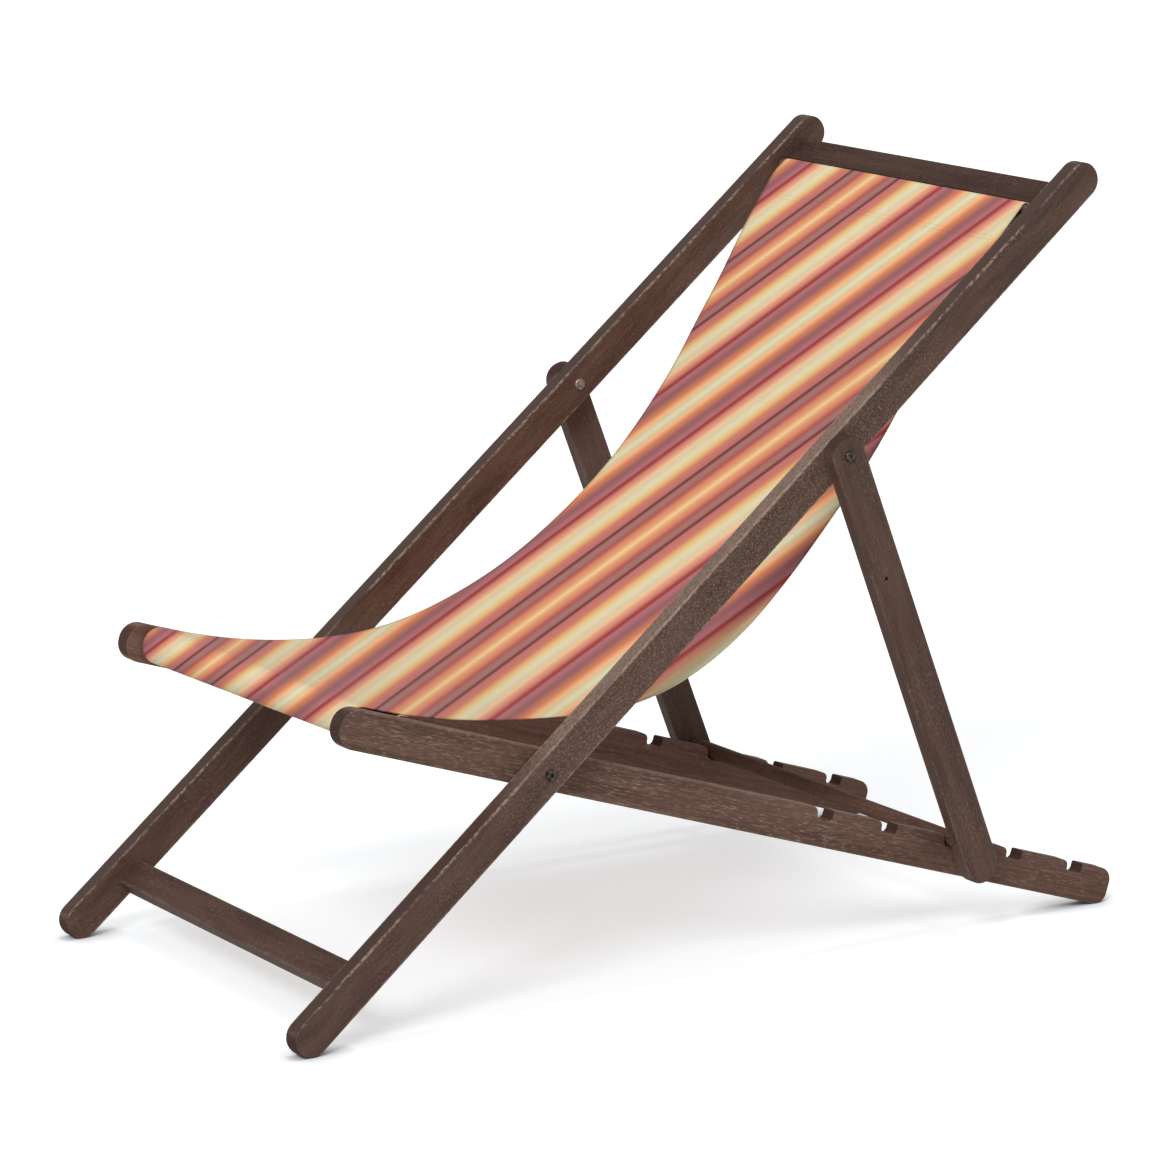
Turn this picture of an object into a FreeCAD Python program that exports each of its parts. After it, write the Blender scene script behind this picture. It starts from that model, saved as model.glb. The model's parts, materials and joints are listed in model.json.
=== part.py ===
"""Folding deck chair: three wooden frames, pivot bolts and a cloth sling.

The chair faces -Y, stands on Z = 0 and is symmetric about X = 0. Every rail is drawn in its own plane with
local x along the rail, local y square to it and local z across the chair, from its inner to its outer face.
"""
import FreeCAD, Part
import math
import os
import re

import Sketcher
from FreeCAD import Placement, Rotation, Vector

DOCUMENT = FreeCAD.newDocument("deck_chair")

# Driving dimensions, in millimetres and degrees
DRIVING = {
    "overall_width": 580.0,         # over the two prop arms
    "pivot_height": 260.6,          # main pivot above the floor
    "back_angle": 39.8,             # back rails above the horizontal
    "seat_angle": 17.8,             # seat rails below the horizontal, towards the rear
    "rail_thickness": 21.0,
    "arm_thickness": 18.0,
    "seat_gap": 2.5,                # between a back rail and a seat rail
    "arm_gap": 1.5,                 # between a back rail and a prop arm
    "back_width": 40.2,
    "back_head": 922.0,             # main pivot to the back rail's upper end
    "seat_width": 42.6,
    "seat_rise": 2.0,               # middle of a seat rail above the pivot bore
    "seat_front": 252.0,            # main pivot to the seat rail's front end
    "arm_width": 41.6,
    "arm_pivot": 478.0,             # main pivot to prop pivot, along the back rail
    "arm_tail": 43.0,               # prop arm beyond the crossbar
    "round_end": 19.4,              # corner radius of the back rails' and prop arms' ends, nearly a half round
    "seat_round": 20.4,             # corner radius of the seat rails' front ends
    "arm_round": 19.5,
    "tail_round": 15.0,             # corner radius of the seat rails' rear ends
    "arris": 1.6,                   # eased long edges
    "floor_flat": 0.6,              # worn flat where a round end stands on the floor
    "notch_first": 384.4,           # main pivot to the middle of the foremost notch
    "notch_pitch": 91.5,
    "notch_count": 5.0,
    "notch_used": 2.0,              # pitches from the foremost notch to the one in use
    "notch_width": 21.0,
    "notch_depth": 12.8,
    "notch_corner": 6.0,            # rounding of a notch's two lower corners
    "notch_lip": 6.5,               # rounding of a notch's front edge
    "notch_heel": 2.2,              # rounding of its rear edge
    "crossbar_radius": 9.0,
    "seat_play": 0.25,              # between the crossbar and its notch
    "front_bar_radius": 16.2,
    "front_bar_reach": 213.6,       # main pivot to the front bar
    "front_bar_rise": 7.1,          # front bar above the pivot bore
    "front_tenon_radius": 10.0,
    "tenon": 10.0,                  # length of every tenon
    "glue_gap": 0.1,                # round every tenon
    "board_back": 19.0,             # cross rails, behind the back rails' middle plane
    "board_front": 2.0,             # cross rails, in front of it
    "top_low": 858.2,               # main pivot to the top rail's lower edge
    "top_high": 891.6,
    "foot_low": 316.2,              # main pivot down to the foot rail's lower edge
    "foot_high": 282.4,
    "tenon_inset": 5.0,
    "rod_radius": 5.5,
    "bolt_radius": 4.0,
    "bolt_play": 0.05,
    "bolt_head_radius": 6.0,
    "bolt_head_height": 2.4,
    "socket_flats": 4.0,
    "washer_radius": 9.0,
    "nut_radius": 6.5,
    "nut_length": 4.0,
    "wear_hole_radius": 2.3,
    "wear_hole_along": 149.0,
    "wear_hole_side": 3.8,
    "cloth": 2.4,                   # thickness of the sling's solid
    "cloth_play": 0.3,
    "sling_low_rear": 45.5,         # lowest point of the sling, behind the main pivot
    "sling_low_rise": 50.4,         # and above it
    "sling_hip_along": 314.5,       # sling behind the sitter's hips, along the back rail
    "sling_hip_sag": 86.6,          # and behind the back rail's middle plane
    "sling_back_along": 604.5,
    "sling_back_sag": 48.0,
    "sling_head_along": 848.5,
    "sling_head_front": 6.5,
    "sling_front_half": 222.0,      # half width at the front bar
    "sling_seat_half": 226.0,       # half width above the main pivot
    "sling_hip_rear": 190.0,        # widest place, behind the main pivot
    "sling_hip_half": 241.0,        # half width there
    "sling_waist_low": 500.0,       # the drawn-in stretch, along the back rail
    "sling_waist_high": 690.0,
    "sling_waist_half": 218.0,      # half width there
    "sling_head_half": 234.5,       # half width at the top rod
}

# Tenons and bores in one direction go no deeper than this past the rail they are cut in
CLEAR = 60.0


def cos(angle):
    return math.cos(math.radians(angle))


def sin(angle):
    return math.sin(math.radians(angle))


def worked_out(d):
    """Sizes that follow from the driving dimensions."""
    back_half = d["back_width"] / 2
    seat_above = d["seat_width"] / 2 + d["seat_rise"]
    seat_below = d["seat_width"] / 2 - d["seat_rise"]
    end, tail = d["round_end"], d["tail_round"]
    drop = d["pivot_height"] + d["floor_flat"]
    a, b = d["back_angle"], d["seat_angle"]
    out = {
        "arm_inner": d["overall_width"] / 2 - d["arm_thickness"],
        "seat_above": seat_above,
        "seat_below": seat_below,
        "foot_reach": (drop - end - (back_half - end) * cos(a)) / sin(a) + end,
        "seat_tail": (drop - tail - (seat_below - tail) * cos(b)) / sin(b) + tail,
        "crossbar_along": d["notch_first"] + d["notch_used"] * d["notch_pitch"]
        + d["notch_width"] / 2 - d["crossbar_radius"] - d["seat_play"],
        "crossbar_up": seat_above - d["notch_depth"] + d["crossbar_radius"] + d["seat_play"],
    }
    out["back_outer"] = out["arm_inner"] - d["arm_gap"]
    out["back_inner"] = out["back_outer"] - d["rail_thickness"]
    out["seat_outer"] = out["back_inner"] - d["seat_gap"]
    out["seat_inner"] = out["seat_outer"] - d["rail_thickness"]
    front = (out["foot_reach"] - end) * cos(a) + (back_half - end) * sin(a) + end
    rear = (out["seat_tail"] - tail) * cos(b) + (seat_above - tail) * sin(b) + tail
    out["pivot_ahead"] = (rear - front) / 2
    crossbar = (
        out["crossbar_along"] * cos(b) + out["crossbar_up"] * sin(b),
        out["crossbar_up"] * cos(b) - out["crossbar_along"] * sin(b),
    )
    reach = crossbar[0] - d["arm_pivot"] * cos(a)
    fall = d["arm_pivot"] * sin(a) - crossbar[1]
    out["arm_length"] = math.hypot(reach, fall)
    out["arm_angle"] = math.degrees(math.atan2(fall, reach))
    return out


SIZE = dict(DRIVING)
SIZE.update(worked_out(DRIVING))

SHEET = DOCUMENT.addObject("Spreadsheet::Sheet", "Dimensions")
for row, (alias, number) in enumerate(SIZE.items(), start=1):
    SHEET.set(f"A{row}", alias)
    SHEET.set(f"B{row}", repr(number))
    SHEET.setAlias(f"B{row}", alias)
DOCUMENT.recompute()


def cell(text):
    """An expression on the sheet's cells, from an expression written with their bare names."""
    return re.sub(r"[a-z]\w*", lambda word: f"Dimensions.{word.group()}", text)


def number(text):
    return float(SHEET.evalExpression(text))


# Sketch and feature helpers
def new_body(name):
    return DOCUMENT.addObject("PartDesign::Body", name)


def new_sketch(body, name, height="0"):
    """A sketch square to the body's z axis, at an expression's height."""
    sketch = body.newObject("Sketcher::SketchObject", name)
    plane = next(f for f in body.Origin.OriginFeatures if f.Role == "XY_Plane")
    sketch.AttachmentSupport = (plane, [""])
    sketch.MapMode = "FlatFace"
    sketch.setExpression("AttachmentOffset.Base.z", cell(height))
    DOCUMENT.recompute()
    return sketch


def bind(sketch, constraint, text):
    """Add a constraint whose value is an expression on the sheet."""
    index = sketch.addConstraint(constraint)
    sketch.renameConstraint(index, f"size_{index}")
    sketch.setExpression(f"Constraints.size_{index}", cell(text))


def locate(sketch, geometry, point, x, y):
    """Hold a point of the sketch at two expressions, measured from the sketch's origin."""
    for kind, text in (("DistanceX", x), ("DistanceY", y)):
        value = number(text)
        if value < 0:
            bind(sketch, Sketcher.Constraint(kind, geometry, point, -1, 1, -value), f"-({text})")
        else:
            bind(sketch, Sketcher.Constraint(kind, -1, 1, geometry, point, value), text)


def rectangle(sketch, left, right, low, high):
    """A rectangle between four expressions."""
    x0, x1, y0, y1 = (number(text) for text in (left, right, low, high))
    corners = [Vector(x0, y0), Vector(x1, y0), Vector(x1, y1), Vector(x0, y1)]
    lines = [sketch.addGeometry(Part.LineSegment(corners[i], corners[(i + 1) % 4])) for i in range(4)]
    for i in range(4):
        sketch.addConstraint(Sketcher.Constraint("Coincident", lines[i], 2, lines[(i + 1) % 4], 1))
        sketch.addConstraint(Sketcher.Constraint("Vertical" if i % 2 else "Horizontal", lines[i]))
    locate(sketch, lines[0], 1, left, low)
    locate(sketch, lines[1], 2, right, high)


def circle(sketch, x, y, radius):
    """A circle about two expressions."""
    centre = Vector(number(x), number(y))
    index = sketch.addGeometry(Part.Circle(centre, Vector(0, 0, 1), number(radius)))
    locate(sketch, index, 3, x, y)
    bind(sketch, Sketcher.Constraint("Radius", index, number(radius)), radius)


def pad(body, sketch, length):
    feature = body.newObject("PartDesign::Pad", f"{sketch.Label}_pad")
    feature.Profile = sketch
    feature.setExpression("Length", cell(length))
    DOCUMENT.recompute()
    return feature


def pocket(body, sketch, depth, upward=True):
    """Cut a sketch into the body, upward along its z axis or downward."""
    before = body.Shape.Volume
    feature = body.newObject("PartDesign::Pocket", f"{sketch.Label}_pocket")
    feature.Profile = sketch
    feature.Reversed = upward
    feature.setExpression("Length", cell(depth))
    DOCUMENT.recompute()
    if body.Shape.Volume >= before:
        raise RuntimeError(f"{feature.Label} cuts nothing")
    return feature


def edges_where(shape, test):
    """Names of the edges whose two end points both pass a test."""
    return [
        f"Edge{i}"
        for i, edge in enumerate(shape.Edges, start=1)
        if all(test(vertex.Point) for vertex in edge.Vertexes)
    ]


def fillet(body, edges, radius):
    base = body.Tip
    feature = body.newObject("PartDesign::Fillet", f"{body.Label}_fillet")
    feature.Base = (base, edges)
    feature.setExpression("Radius", cell(radius))
    DOCUMENT.recompute()
    if "Invalid" in feature.State:
        raise RuntimeError(f"{feature.Label} can't round {edges}")
    return feature


def ease_arrises(body, thickness):
    """Round the outline of both flat faces of a rail."""
    top = number(thickness)
    shape = body.Shape
    names = [
        f"Edge{i}"
        for i, edge in enumerate(shape.Edges, start=1)
        if edge.BoundBox.ZLength < 1e-6 and min(abs(edge.BoundBox.ZMin), abs(edge.BoundBox.ZMin - top)) < 1e-6
    ]
    return fillet(body, names, "arris")


def plank(name, tail, head, below, above, thickness, tail_round, head_round):
    """A rail with rounded ends, drawn about its pivot bore, with local z across the chair."""
    body = new_body(name)
    outline = new_sketch(body, f"{name}_outline")
    rectangle(outline, f"-{tail}", head, f"-{below}", above)
    pad(body, outline, thickness)
    for end, radius in ((-number(tail), tail_round), (number(head), head_round)):
        corners = [
            f"Edge{i}"
            for i, edge in enumerate(body.Shape.Edges, start=1)
            if edge.BoundBox.XLength + edge.BoundBox.YLength < 1e-6 and abs(edge.BoundBox.XMin - end) < 1e-6
        ]
        fillet(body, corners, radius)
    return body


def bore(body, name, x, y, radius, depth, height="0", upward=True):
    """A round hole into a rail."""
    sketch = new_sketch(body, name, height)
    circle(sketch, x, y, radius)
    return pocket(body, sketch, depth, upward)


# The frames' planes
def side_place(along_angle, x, along=0.0, up=0.0):
    """Place local x along a rail at an angle above +Y, local z along +X, from a point of the side plane."""
    turn = Rotation(Vector(1, 0, 0), along_angle) * Rotation(Vector(1, 1, 1), 120)
    return Placement(Vector(x, along - SIZE["pivot_ahead"], SIZE["pivot_height"] + up), turn)


def back_point(along, forward):
    """Side-plane point, from the main pivot, of a place along the back rail and in front of its middle."""
    a = SIZE["back_angle"]
    return along * cos(a) - forward * sin(a), along * sin(a) + forward * cos(a)


def seat_point(along, up):
    """Side-plane point, from the main pivot, of a place along the seat rail and above the pivot bore."""
    b = SIZE["seat_angle"]
    return along * cos(b) + up * sin(b), up * cos(b) - along * sin(b)


ARM_PIVOT = back_point(SIZE["arm_pivot"], 0.0)
CROSSBAR = seat_point(SIZE["crossbar_along"], SIZE["crossbar_up"])
FRONT_BAR = seat_point(-SIZE["front_bar_reach"], SIZE["front_bar_rise"])

SUBPARTS = []


def keep(shape_object, label):
    shape_object.Label = label
    SUBPARTS.append(shape_object)
    return shape_object


def mirrored(source, name):
    """The other side's piece, mirrored about the chair's middle plane."""
    copy = DOCUMENT.addObject("Part::Mirroring", name)
    copy.Source = source
    copy.Normal = Vector(1, 0, 0)
    return copy


def both_sides(left, label):
    """A left piece and its mirrored fellow on the right."""
    keep(left, f"{label}_left")
    keep(mirrored(left, f"{label}_right"), f"{label}_right")


FLOOR = DOCUMENT.addObject("Part::Box", "floor_cutter")
FLOOR.Length, FLOOR.Width, FLOOR.Height = 1000, 2000, CLEAR
FLOOR.Placement = Placement(Vector(-500, -1000, -CLEAR), Rotation())


def stand_flat(source, label):
    """A left rail with a worn flat where its round end meets the floor, and its mirrored fellow."""
    left = DOCUMENT.addObject("Part::Cut", f"{label}_left")
    left.Base = source
    left.Tool = FLOOR
    both_sides(left, label)


# Back rails: mortises for the two cross rails, a blind bore for the sling's rod and two bolt holes
BOLT_HOLE = "bolt_radius + bolt_play"
BOARDS = {"top_rail": ("top_low", "top_high"), "foot_rail": ("-foot_low", "-foot_high")}


def board_tenon(sketch, low, high, gap):
    """Outline of a cross rail's tenon, or of its mortise with a gap round it."""
    rectangle(
        sketch,
        f"{low} + tenon_inset - {gap}",
        f"{high} - tenon_inset + {gap}",
        f"-board_back + tenon_inset - {gap}",
        f"board_front - tenon_inset + {gap}",
    )


def sling_path():
    """Middle line of the sling as tangent arcs (centre, signed radius, first and last heading).

    A positive radius turns upwards. The path starts on top of the front bar's roll and ends on the top rod.
    """
    low = Vector(0, SIZE["sling_low_rear"], SIZE["sling_low_rise"])
    roll = SIZE["front_bar_radius"] + SIZE["cloth_play"] + SIZE["cloth"] / 2
    ahead, rise = low.y - FRONT_BAR[0], FRONT_BAR[1] - low.z
    radius = (ahead**2 + rise**2 - roll**2) / (2 * (roll + rise))
    start = -math.atan2(ahead, radius - rise)
    arcs = [((low.y, low.z + radius), radius, start, 0.0)]
    place, heading = (low.y, low.z), 0.0
    for along, front in (
        (SIZE["sling_hip_along"], -SIZE["sling_hip_sag"]),
        (SIZE["sling_back_along"], -SIZE["sling_back_sag"]),
        (SIZE["sling_head_along"], SIZE["sling_head_front"]),
    ):
        target = back_point(along, front)
        step = (target[0] - place[0], target[1] - place[1])
        turn = 2 * (math.atan2(step[1], step[0]) - heading)
        radius = math.hypot(*step) / (2 * math.sin(turn / 2))
        centre = (place[0] - radius * math.sin(heading), place[1] + radius * math.cos(heading))
        arcs.append((centre, radius, heading, heading + turn))
        place, heading = target, heading + turn
    return arcs, place, heading


SLING_ARCS, SLING_HEAD, SLING_HEADING = sling_path()
ROD_OFFSET = SIZE["rod_radius"] + SIZE["cloth_play"] + SIZE["cloth"] / 2
ROD = (
    SLING_HEAD[0] + ROD_OFFSET * math.sin(SLING_HEADING),
    SLING_HEAD[1] - ROD_OFFSET * math.cos(SLING_HEADING),
)
ROD_ALONG = ROD[0] * cos(SIZE["back_angle"]) + ROD[1] * sin(SIZE["back_angle"])
ROD_FRONT = ROD[1] * cos(SIZE["back_angle"]) - ROD[0] * sin(SIZE["back_angle"])


def back_rail():
    body = plank(
        "back_rail", "foot_reach", "back_head", "back_width / 2", "back_width / 2",
        "rail_thickness", "round_end", "round_end",
    )
    ease_arrises(body, "rail_thickness")
    bore(body, "back_pivot_bore", "0", "0", BOLT_HOLE, "rail_thickness")
    bore(body, "back_arm_bore", "arm_pivot", "0", BOLT_HOLE, "rail_thickness")
    for name, (low, high) in BOARDS.items():
        mortise = new_sketch(body, f"{name}_mortise")
        board_tenon(mortise, low, high, "glue_gap")
        pocket(body, mortise, "tenon + glue_gap")
    bore(body, "rod_bore", f"{ROD_ALONG}", f"{ROD_FRONT}", "rod_radius + bolt_play", "tenon + glue_gap")
    body.Placement = side_place(SIZE["back_angle"], SIZE["back_inner"])
    return body


def cross_rail(name, low, high):
    """A flat board between the back rails, with a tenon at each end."""
    body = new_body(name)
    section = new_sketch(body, f"{name}_section", "-back_inner")
    rectangle(section, low, high, "-board_back", "board_front")
    pad(body, section, "2 * back_inner")
    long_edges = [
        f"Edge{i}" for i, edge in enumerate(body.Shape.Edges, start=1) if edge.BoundBox.ZLength > 1.0
    ]
    fillet(body, long_edges, "arris")
    tenon = new_sketch(body, f"{name}_tenon", "-back_inner - tenon")
    board_tenon(tenon, low, high, "0")
    pad(body, tenon, "2 * back_inner + 2 * tenon")
    body.Placement = side_place(SIZE["back_angle"], 0.0)
    return body


# Seat rails: five U-shaped notches with a rounded front lip, a pivot bore and a bore for the front bar
def notch_outline(sketch):
    """One notch, open upwards: front wall, round corner, floor, round corner, rear wall and closing line."""
    middle, half = number("notch_first"), number("notch_width / 2")
    top, floor = number("seat_above + seat_play"), number("seat_above - notch_depth")
    corner = number("notch_corner")
    rear, front = middle + half, middle - half

    def arc(centre_x, first, last):
        ring = Part.Circle(Vector(centre_x, floor + corner), Vector(0, 0, 1), corner)
        return Part.ArcOfCircle(ring, math.radians(first), math.radians(last))

    front_wall = sketch.addGeometry(Part.LineSegment(Vector(front, top), Vector(front, floor + corner)))
    front_arc = sketch.addGeometry(arc(front + corner, 180, 270))
    bottom = sketch.addGeometry(Part.LineSegment(Vector(front + corner, floor), Vector(rear - corner, floor)))
    rear_arc = sketch.addGeometry(arc(rear - corner, 270, 360))
    rear_wall = sketch.addGeometry(Part.LineSegment(Vector(rear, floor + corner), Vector(rear, top)))
    mouth = sketch.addGeometry(Part.LineSegment(Vector(rear, top), Vector(front, top)))
    chain = [front_wall, front_arc, bottom, rear_arc, rear_wall]
    for first, second in zip(chain, chain[1:]):
        sketch.addConstraint(Sketcher.Constraint("Tangent", first, 2, second, 1))
    sketch.addConstraint(Sketcher.Constraint("Coincident", rear_wall, 2, mouth, 1))
    sketch.addConstraint(Sketcher.Constraint("Coincident", mouth, 2, front_wall, 1))
    sketch.addConstraint(Sketcher.Constraint("Vertical", rear_wall))
    sketch.addConstraint(Sketcher.Constraint("Horizontal", mouth))
    sketch.addConstraint(Sketcher.Constraint("Equal", front_arc, rear_arc))
    bind(sketch, Sketcher.Constraint("Radius", rear_arc, corner), "notch_corner")
    locate(sketch, rear_wall, 2, "notch_first + notch_width / 2", "seat_above + seat_play")
    bind(sketch, Sketcher.Constraint("DistanceX", mouth, 2, mouth, 1, 2 * half), "notch_width")
    bind(
        sketch,
        Sketcher.Constraint("DistanceY", bottom, 1, rear_wall, 2, top - floor),
        "notch_depth + seat_play",
    )


def seat_rail():
    body = plank(
        "seat_rail", "seat_front", "seat_tail", "seat_below", "seat_above",
        "rail_thickness", "seat_round", "tail_round",
    )
    outline = new_sketch(body, "notch_outline")
    notch_outline(outline)
    first = pocket(body, outline, "rail_thickness")
    row = body.newObject("PartDesign::LinearPattern", "notch_row")
    row.Originals = [first]
    row.Direction = (outline, ["H_Axis"])
    row.setExpression("Length", cell("notch_pitch * (notch_count - 1)"))
    row.setExpression("Occurrences", cell("notch_count"))
    body.Tip = row
    DOCUMENT.recompute()
    top = number("seat_above")
    steps = range(int(SIZE["notch_count"]))
    for first_edge, radius in (
        ("notch_first - notch_width / 2", "notch_lip"),
        ("notch_first + notch_width / 2", "notch_heel"),
    ):
        places = [number(first_edge) + step * SIZE["notch_pitch"] for step in steps]
        edges = edges_where(
            body.Shape,
            lambda p, xs=places: abs(p.y - top) < 1e-6 and any(abs(p.x - x) < 1e-4 for x in xs),
        )
        fillet(body, edges, radius)
    ease_arrises(body, "rail_thickness")
    bore(body, "seat_pivot_bore", "0", "0", BOLT_HOLE, "rail_thickness")
    bore(
        body, "front_bar_bore", "-front_bar_reach", "front_bar_rise",
        "front_tenon_radius + glue_gap", "tenon + glue_gap",
    )
    body.Placement = side_place(-SIZE["seat_angle"], SIZE["seat_inner"])
    return body


# Prop arms: round upper end about the bolt, a blind bore for the crossbar, a small old hole in the outer face
def prop_arm():
    body = plank(
        "prop_arm", "arm_width / 2", "arm_length + arm_tail", "arm_width / 2", "arm_width / 2",
        "arm_thickness", "arm_round", "round_end",
    )
    ease_arrises(body, "arm_thickness")
    bore(body, "arm_bore", "0", "0", BOLT_HOLE, "arm_thickness")
    bore(body, "crossbar_bore", "arm_length", "0", "crossbar_radius + glue_gap", "tenon + glue_gap")
    bore(
        body, "wear_hole", "wear_hole_along", "-wear_hole_side", "wear_hole_radius",
        "tenon / 2", "arm_thickness", upward=False,
    )
    body.Placement = side_place(-SIZE["arm_angle"], SIZE["arm_inner"], *ARM_PIVOT)
    return body


def round_bar(name, place, radius, half_length, tenon_radius=None):
    """A turned bar across the chair, with a thinner tenon at each end where one is asked for."""
    body = new_body(name)
    section = new_sketch(body, f"{name}_section", f"-({half_length})")
    circle(section, "0", "0", radius)
    pad(body, section, f"2 * ({half_length})")
    if tenon_radius:
        tenon = new_sketch(body, f"{name}_tenon", f"-({half_length} + tenon)")
        circle(tenon, "0", "0", tenon_radius)
        pad(body, tenon, f"2 * ({half_length} + tenon)")
    body.Placement = side_place(0.0, 0.0, *place)
    return body


def ring(name, place, inner_x, radius, thickness, hole="bolt_radius + bolt_play"):
    """A washer on a bolt, with its inner face at inner_x."""
    body = new_body(name)
    face = new_sketch(body, f"{name}_face")
    circle(face, "0", "0", radius)
    circle(face, "0", "0", hole)
    pad(body, face, thickness)
    body.Placement = side_place(0.0, number(inner_x), *place)
    return body


def bolt(name, place, inner_x, outer_x):
    """A bolt whose shank runs from inner_x to outer_x, with a low domed head and a hexagon socket outside."""
    body = new_body(name)
    shank = new_sketch(body, f"{name}_shank")
    circle(shank, "0", "0", "bolt_radius")
    pad(body, shank, f"{outer_x} - ({inner_x})")
    head = new_sketch(body, f"{name}_head", f"{outer_x} - ({inner_x})")
    circle(head, "0", "0", "bolt_head_radius")
    pad(body, head, "bolt_head_height")
    top = number(f"{outer_x} - ({inner_x}) + bolt_head_height")
    fillet(body, edges_where(body.Shape, lambda p: abs(p.z - top) < 1e-6), "bolt_head_height / 2")
    body.Placement = side_place(0.0, number(inner_x), *place)
    socket = DOCUMENT.addObject("Part::Prism", f"{name}_socket")
    socket.Polygon = 6
    socket.setExpression("Circumradius", cell("socket_flats / 1.7320508"))
    socket.setExpression("Height", cell("bolt_head_height"))
    socket.Placement = side_place(0.0, number(f"{outer_x} + bolt_head_height / 3"), *place)
    finished = DOCUMENT.addObject("Part::Cut", name + "_finished")
    finished.Base = body
    finished.Tool = socket
    return finished


def cap_nut(name, place, inner_x, length, depth):
    """A round capped nut, blind towards the middle of the chair."""
    body = new_body(name)
    disc = new_sketch(body, f"{name}_disc")
    circle(disc, "0", "0", "nut_radius")
    pad(body, disc, length)
    fillet(body, edges_where(body.Shape, lambda p: abs(p.z) < 1e-6), "arris / 2")
    bore(body, f"{name}_bore", "0", "0", BOLT_HOLE, depth, length, upward=False)
    body.Placement = side_place(0.0, number(inner_x), *place)
    return body


# The sling: a sheet along the tangent arcs with a hem round each bar, drawn in at the waist
def side_vector(point, x=0.0):
    return Vector(x, point[0] - SIZE["pivot_ahead"], point[1] + SIZE["pivot_height"])


def arc_point(arc, heading, offset):
    """Point of an arc at a heading, moved to the upper side by an offset."""
    (y, z), radius = arc[0], arc[1] - offset
    return side_vector((y + radius * math.sin(heading), z - radius * math.cos(heading)))


def offset_arcs(offset):
    return [
        Part.Arc(
            arc_point(arc, arc[2], offset),
            arc_point(arc, (arc[2] + arc[3]) / 2, offset),
            arc_point(arc, arc[3], offset),
        ).toShape()
        for arc in SLING_ARCS
    ]


def hem(place, radius):
    """Closed loop of cloth round a bar."""
    half = SIZE["sling_hip_half"] + CLEAR / 10
    start = side_vector(place, -half)
    inner = radius + SIZE["cloth_play"]
    loop = Part.makeCylinder(inner + SIZE["cloth"], 2 * half, start, Vector(1, 0, 0))
    return loop, Part.makeCylinder(inner, 2 * half, start, Vector(1, 0, 0))


def sling():
    half = SIZE["sling_hip_half"] + CLEAR / 10
    upper, lower = offset_arcs(SIZE["cloth"] / 2), offset_arcs(-SIZE["cloth"] / 2)
    ends = [
        Part.LineSegment(upper[0].firstVertex().Point, lower[0].firstVertex().Point).toShape(),
        Part.LineSegment(upper[-1].lastVertex().Point, lower[-1].lastVertex().Point).toShape(),
    ]
    outline = Part.Wire(Part.__sortEdges__(upper + lower + ends))
    sheet = Part.Face(outline)
    sheet.translate(Vector(-half, 0, 0))
    cloth = sheet.extrude(Vector(2 * half, 0, 0))
    loops = [hem(FRONT_BAR, SIZE["front_bar_radius"]), hem(ROD, SIZE["rod_radius"])]
    cloth = cloth.fuse([loop for loop, hollow in loops])
    cloth = cloth.cut(Part.makeCompound([hollow for loop, hollow in loops]))
    return cloth.common(sling_plan()).removeSplitter()


def sling_plan():
    """Upright prism of the sling's outline from above: wide at the hips, drawn in at the waist."""
    front = FRONT_BAR[0] - 2 * SIZE["front_bar_radius"]
    places = [
        (front, SIZE["sling_front_half"]),
        (FRONT_BAR[0] / 2, SIZE["sling_front_half"]),
        (0.0, SIZE["sling_seat_half"]),
        (SIZE["sling_hip_rear"], SIZE["sling_hip_half"]),
        (back_point(SIZE["sling_waist_low"], 0.0)[0], SIZE["sling_waist_half"]),
        (back_point(SIZE["sling_waist_high"], 0.0)[0], SIZE["sling_waist_half"]),
        (ROD[0], SIZE["sling_head_half"]),
        (ROD[0] + 2 * ROD_OFFSET, SIZE["sling_head_half"]),
    ]
    sides = []
    for sign in (1, -1):
        curve = Part.BSplineCurve()
        curve.interpolate([Vector(sign * half, y - SIZE["pivot_ahead"], 0) for y, half in places])
        sides.append(curve)
    left, right = sides
    edges = [
        left.toShape(),
        Part.LineSegment(left.EndPoint, right.EndPoint).toShape(),
        right.toShape(),
        Part.LineSegment(right.StartPoint, left.StartPoint).toShape(),
    ]
    outline = Part.Wire(Part.__sortEdges__(edges))
    return Part.Face(outline).extrude(Vector(0, 0, 2 * SIZE["back_head"]))


# Wooden frames
stand_flat(back_rail(), "back_rail")
for board, (board_low, board_high) in BOARDS.items():
    keep(cross_rail(board, board_low, board_high), board)
keep(round_bar("sling_rod", ROD, "rod_radius", "back_inner + tenon"), "sling_rod")
stand_flat(seat_rail(), "seat_rail")
keep(
    round_bar("seat_front_bar", FRONT_BAR, "front_bar_radius", "seat_inner", "front_tenon_radius"),
    "seat_front_bar",
)
both_sides(prop_arm(), "prop_arm")
keep(round_bar("prop_crossbar", CROSSBAR, "crossbar_radius", "arm_inner + tenon"), "prop_crossbar")

# Main pivots, from the inside out: cap nut, washer, seat rail, washer, back rail, bolt head
PIVOT = (0.0, 0.0)
INNER_WASHER = "seat_inner - bolt_play - 1.5"
NUT_INNER = f"{INNER_WASHER} - nut_length"
both_sides(bolt("main_bolt", PIVOT, f"{NUT_INNER} + nut_length / 2", "back_outer"), "main_pivot_bolt")
both_sides(ring("gap_washer", PIVOT, "seat_outer + bolt_play", "washer_radius", "seat_gap - bolt_play"),
           "main_pivot_washer")
both_sides(ring("nut_washer", PIVOT, INNER_WASHER, "washer_radius", "1.5"), "main_nut_washer")
both_sides(cap_nut("main_nut", PIVOT, NUT_INNER, "nut_length", "nut_length / 2"), "main_pivot_nut")

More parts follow.
